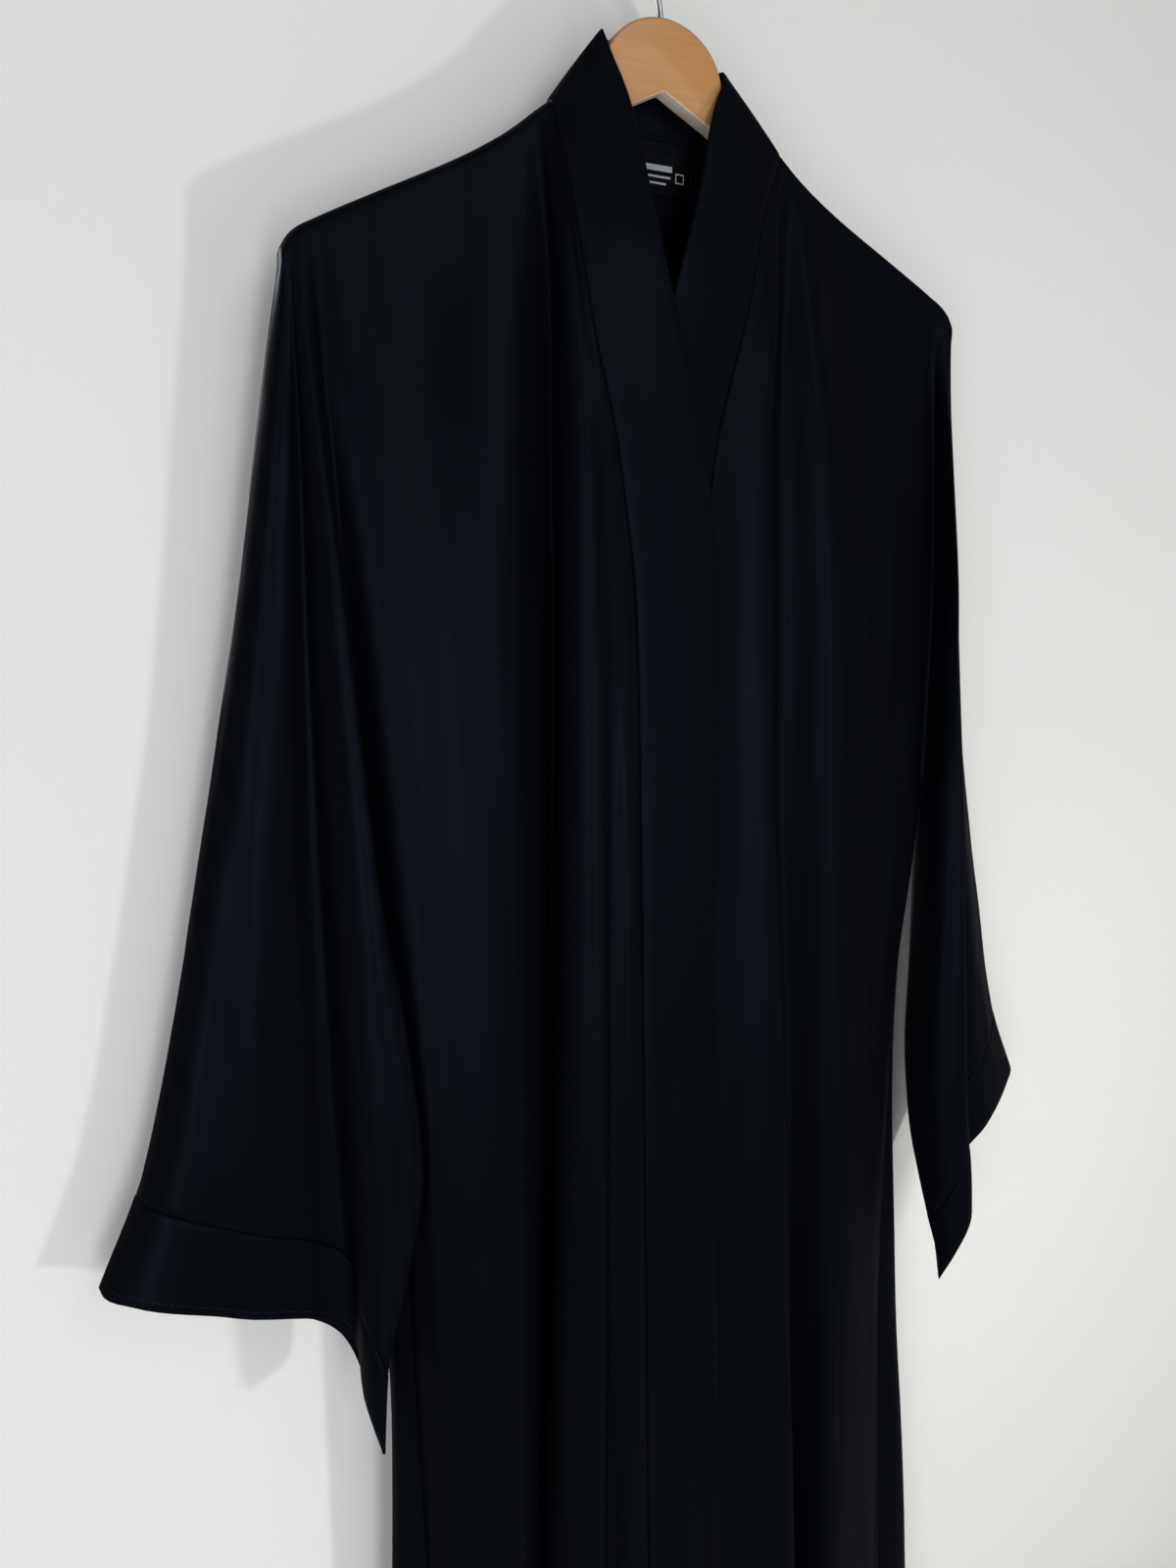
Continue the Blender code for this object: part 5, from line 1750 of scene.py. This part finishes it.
def saw_board(depth):
    """The board as a flat outline, extruded to its thickness."""
    outline = hanger_outline()
    clear_selection()
    bpy.ops.mesh.primitive_circle_add(vertices=len(outline), radius=0.1, fill_type="NGON")
    board = bpy.context.object
    board.name = "hanger_board"
    for vertex, (x, drop) in zip(board.data.vertices, outline):
        vertex.co = (x * MM, -depth / 2, -drop * MM)
    bpy.ops.object.mode_set(mode="EDIT")
    bpy.ops.mesh.select_all(action="SELECT")
    bpy.ops.mesh.extrude_region_move(TRANSFORM_OT_translate={"value": (0, depth, 0)})
    bpy.ops.mesh.select_all(action="SELECT")
    bpy.ops.mesh.normals_make_consistent(inside=False)
    bpy.ops.object.mode_set(mode="OBJECT")
    return board


def bore_board(board):
    """Bores the hole for the hook from above."""
    clear_selection()
    length = (BORE_DEPTH + BORE_OVERSHOOT) * MM
    bpy.ops.mesh.primitive_cylinder_add(
        vertices=24,
        radius=BORE_RADIUS * MM,
        depth=length,
        location=(0, 0, -(BORE_TOP_DROP + BORE_DEPTH) * MM + length / 2),
    )
    bore = bpy.context.object
    place_in_mesh(bore)
    cut = board.modifiers.new("Bore", "BOOLEAN")
    cut.operation = "DIFFERENCE"
    cut.solver = "EXACT"
    cut.object = bore
    apply_modifiers(board)
    bpy.data.objects.remove(bore, do_unlink=True)


class ABAYA_OT_hanger(bpy.types.Operator):
    """Saws the flat beech hanger from its outline, rounds its edges and bores it for the hook"""

    bl_idname = "abaya.hanger"
    bl_label = "Make the hanger"

    def execute(self, context):
        settings = context.scene.abaya_hanger
        board = saw_board(settings.depth)
        add_bevel(board, "Sanded edge", settings.edge, 4, 50)
        apply_modifiers(board)
        bore_board(board)
        smooth_by_angle(board, 35)

        face = beech_material("Varnished beech", settings.face_colour, 0.35, 0.4, 0.12)
        sawn = beech_material("Sawn beech, painted lighter", settings.sawn_colour_painted_lighter, 0.0, 0.62, 0.4)
        dress(board, face, sawn)
        for polygon in board.data.polygons:
            # Faces that look down take the sawn beech. Its colour carries painted light from below as well as
            # the bare wood.
            under = polygon.normal.z < -0.15 and abs(polygon.normal.y) < 0.6
            polygon.material_index = 1 if under else 0
        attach(board, "root")
        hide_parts("hanger_body")
        return {"FINISHED"}


def on_circle(centre, radius, degrees):
    angle = math.radians(degrees)
    return centre + Vector((math.cos(angle), 0, math.sin(angle))) * radius


def hook_path():
    """Centre line of the hook in millimetres: up from the bore, out to the left and over to its tip."""
    radius = CROOK_INNER_RADIUS + WIRE_RADIUS
    centre = Vector((0, 0, -CROOK_INNER_RADIUS))
    join = on_circle(centre, radius, CROOK_START_ANGLE)
    start = math.radians(CROOK_START_ANGLE)
    heading = Vector((math.sin(start), 0, -math.cos(start)))
    lean = Vector((BEND_LEAN[0], 0, BEND_LEAN[1]))
    bends = (Vector((0, 0, -BEND_START_DROP)), lean, join - heading * BEND_END_LENGTH, join)
    path = [Vector((0, 0, -drop)) for drop in FOOT_DROPS]
    for step in range(BEND_STEPS):
        t = step / BEND_STEPS
        weights = ((1 - t) ** 3, 3 * t * (1 - t) ** 2, 3 * t * t * (1 - t), t**3)
        path.append(sum((point * weight for point, weight in zip(bends, weights)), Vector()))
    for step in range(CROOK_TURNS + 1):
        turned = (CROOK_END_ANGLE - CROOK_START_ANGLE) * step / CROOK_TURNS
        path.append(on_circle(centre, radius, CROOK_START_ANGLE + turned))
    return path


class ABAYA_OT_hook(bpy.types.Operator):
    """Bends the steel hook from wire, with a rounded tip"""

    bl_idname = "abaya.hook"
    bl_label = "Bend the hook"

    def execute(self, context):
        settings = context.scene.abaya_hanger
        clear_selection()
        bpy.ops.curve.primitive_bezier_curve_add()
        wire = context.object
        wire.name = "hook_wire"
        curve = wire.data
        curve.splines.clear()
        path = hook_path()
        spline = curve.splines.new("POLY")
        spline.points.add(len(path) - 1)
        for spot, point in zip(spline.points, path):
            spot.co = (*(point * MM), 1.0)
        curve.bevel_depth = WIRE_RADIUS * MM
        curve.bevel_resolution = 6
        curve.use_fill_caps = True
        bpy.ops.object.convert(target="MESH")
        wire = context.object
        place_in_mesh(wire)
        bpy.ops.object.mode_set(mode="EDIT")
        bpy.ops.mesh.select_all(action="SELECT")
        bpy.ops.mesh.remove_doubles(threshold=0.00001)
        bpy.ops.mesh.normals_make_consistent(inside=False)
        bpy.ops.object.mode_set(mode="OBJECT")
        add_bevel(wire, "Rounded tip", WIRE_RADIUS * MM * 0.8, 5, 60)
        apply_modifiers(wire)
        smooth_by_angle(wire, 50)
        dress(wire, wire_material("Steel wire", settings.steel_colour))
        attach(wire, "root")
        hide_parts("hanger_hook")
        return {"FINISHED"}


# Stage

WALL_SIZE = (4.2, 2.2, 1)
FLOOR_SIZE = (9, 9, 1)
WARM = (1.0, 0.985, 0.96)
COOL = (0.93, 0.96, 1.0)
LIGHT_AIM = (0, 0, -0.7)
LIGHTS = (
    # name, place, share of the window light's power, width, height, colour
    ("Window light", (-1.5, -1.62, -0.7), 1.0, 0.9, 2.0, COOL),
    ("Room light", (-0.2, -2.15, -0.7), 0.85, 0.5, 1.8, COOL),
    ("Top light", (0.4, -1.7, 0.56), 0.36, 1.0, 1.0, WARM),
    ("Side light", (1.26, -1.8, -0.7), 0.17, 1.0, 1.0, WARM),
    ("Back light", (-1.1, 1.9, 0.1), 0.9, 1.2, 1.2, COOL),
    ("Back side light", (1.6, 1.5, -0.5), 0.6, 0.8, 0.8, WARM),
)
KEY_PLACE = (0.6, -1.05, -0.96)
KEY_AIM = (-0.1, 0, -0.6)
KEY_SIZE = 0.1
WORLD_COLOUR = (0.92, 0.94, 0.96, 1.0)
WORLD_STRENGTH = 0.15
WORLD_SEEN_EXTRA = 0.6
CAMERA_PLACE = (-0.340, -0.625, -0.367)
CAMERA_TURN = (79.0, 0.0, -25.23)
CAMERA_LENS = 25.81


def add_plane(name, place, turn, scale, finish):
    clear_selection()
    bpy.ops.mesh.primitive_plane_add(size=1.0, location=place)
    plane = bpy.context.object
    plane.name = name
    plane.rotation_euler = turn
    plane.scale = scale
    place_in_mesh(plane)
    dress(plane, finish)
    plane.visible_glossy = False
    return plane


def add_area_light(name, place, aim, power, width, height, colour):
    clear_selection()
    bpy.ops.object.light_add(type="AREA", location=place)
    lamp = bpy.context.object
    lamp.name = name
    lamp.data.energy = power
    lamp.data.shape = "ELLIPSE"
    lamp.data.size = width
    lamp.data.size_y = height
    lamp.data.color = colour
    way = Vector(aim) - Vector(place)
    lamp.rotation_euler = way.to_track_quat("-Z", "Y").to_euler()
    return lamp


def add_lights(settings):
    key = add_area_light("Key light", KEY_PLACE, KEY_AIM, settings.key_power, KEY_SIZE, KEY_SIZE, WARM)
    key.visible_glossy = False
    for name, place, share, width, height, colour in LIGHTS:
        add_area_light(name, place, LIGHT_AIM, settings.fill_power * share, width, height, colour)


def light_world(scene):
    """A pale world that gives little light of its own."""
    world = bpy.data.worlds.new("Soft studio")
    world.use_nodes = True
    tree = world.node_tree
    seen = add_node(tree, "ShaderNodeLightPath").outputs["Is Camera Ray"]
    strength = maths(tree, "MULTIPLY_ADD", seen, WORLD_SEEN_EXTRA, WORLD_STRENGTH)
    feed(tree, tree.nodes["Background"], {"Color": WORLD_COLOUR, "Strength": strength})
    scene.world = world


def add_camera(scene):
    clear_selection()
    turn = tuple(math.radians(angle) for angle in CAMERA_TURN)
    bpy.ops.object.camera_add(location=CAMERA_PLACE, rotation=turn)
    camera = bpy.context.object
    camera.data.sensor_width = 36.0
    camera.data.lens = CAMERA_LENS
    camera.data.clip_start = 0.01
    scene.camera = camera


class ABAYA_OT_stage(bpy.types.Operator):
    """Sets up the wall, the floor, the studio lights and the camera"""

    bl_idname = "abaya.stage"
    bl_label = "Set the stage"

    def execute(self, context):
        settings = context.scene.abaya_stage
        place = (0, settings.wall_gap, -WALL_MIDDLE_DROP)
        upright = (math.pi / 2, 0, 0)
        wall = add_plane("wall", place, upright, WALL_SIZE, wall_material(settings.paint))
        wall.visible_shadow = False
        floor_paint = paint_material("Floor paint", settings.paint)
        floor = add_plane("floor", (0, 0, -settings.floor_drop), (0, 0, 0), FLOOR_SIZE, floor_paint)
        add_lights(settings)
        light_world(context.scene)
        context.scene.view_settings.view_transform = "Standard"
        add_camera(context.scene)
        return {"FINISHED"}


class ABAYA_PT_panel(bpy.types.Panel):
    """Builds the abaya and its hanger piece by piece"""

    bl_idname = "ABAYA_PT_panel"
    bl_label = "Abaya on a hanger"
    bl_space_type = "VIEW_3D"
    bl_region_type = "UI"
    bl_category = "Abaya"

    def draw(self, context):
        scene = context.scene
        parts = (
            (scene.abaya_cloth, ("abaya.cloth",)),
            (scene.abaya_sewing, ("abaya.stitching", "abaya.label")),
            (scene.abaya_hanger, ("abaya.hanger", "abaya.hook")),
            (scene.abaya_stage, ("abaya.stage",)),
        )
        for settings, operators in parts:
            box = self.layout.box()
            for name in type(settings).__annotations__:
                box.prop(settings, name)
            for operator in operators:
                box.operator(operator)


SETTINGS = {
    "abaya_cloth": AbayaClothSettings,
    "abaya_sewing": AbayaSewingSettings,
    "abaya_hanger": AbayaHangerSettings,
    "abaya_stage": AbayaStageSettings,
}
CLASSES = (
    *SETTINGS.values(),
    ABAYA_OT_cloth,
    ABAYA_OT_stitching,
    ABAYA_OT_label,
    ABAYA_OT_hanger,
    ABAYA_OT_hook,
    ABAYA_OT_stage,
    ABAYA_PT_panel,
)


def register():
    for cls in CLASSES:
        bpy.utils.register_class(cls)
    for name, cls in SETTINGS.items():
        setattr(bpy.types.Scene, name, bpy.props.PointerProperty(type=cls))


def unregister():
    for name in SETTINGS:
        delattr(bpy.types.Scene, name)
    for cls in reversed(CLASSES):
        bpy.utils.unregister_class(cls)


def main():
    register()
    bpy.ops.abaya.cloth()
    bpy.ops.abaya.stitching()
    bpy.ops.abaya.label()
    bpy.ops.abaya.hanger()
    bpy.ops.abaya.hook()
    bpy.ops.abaya.stage()


if __name__ == "__main__":
    main()
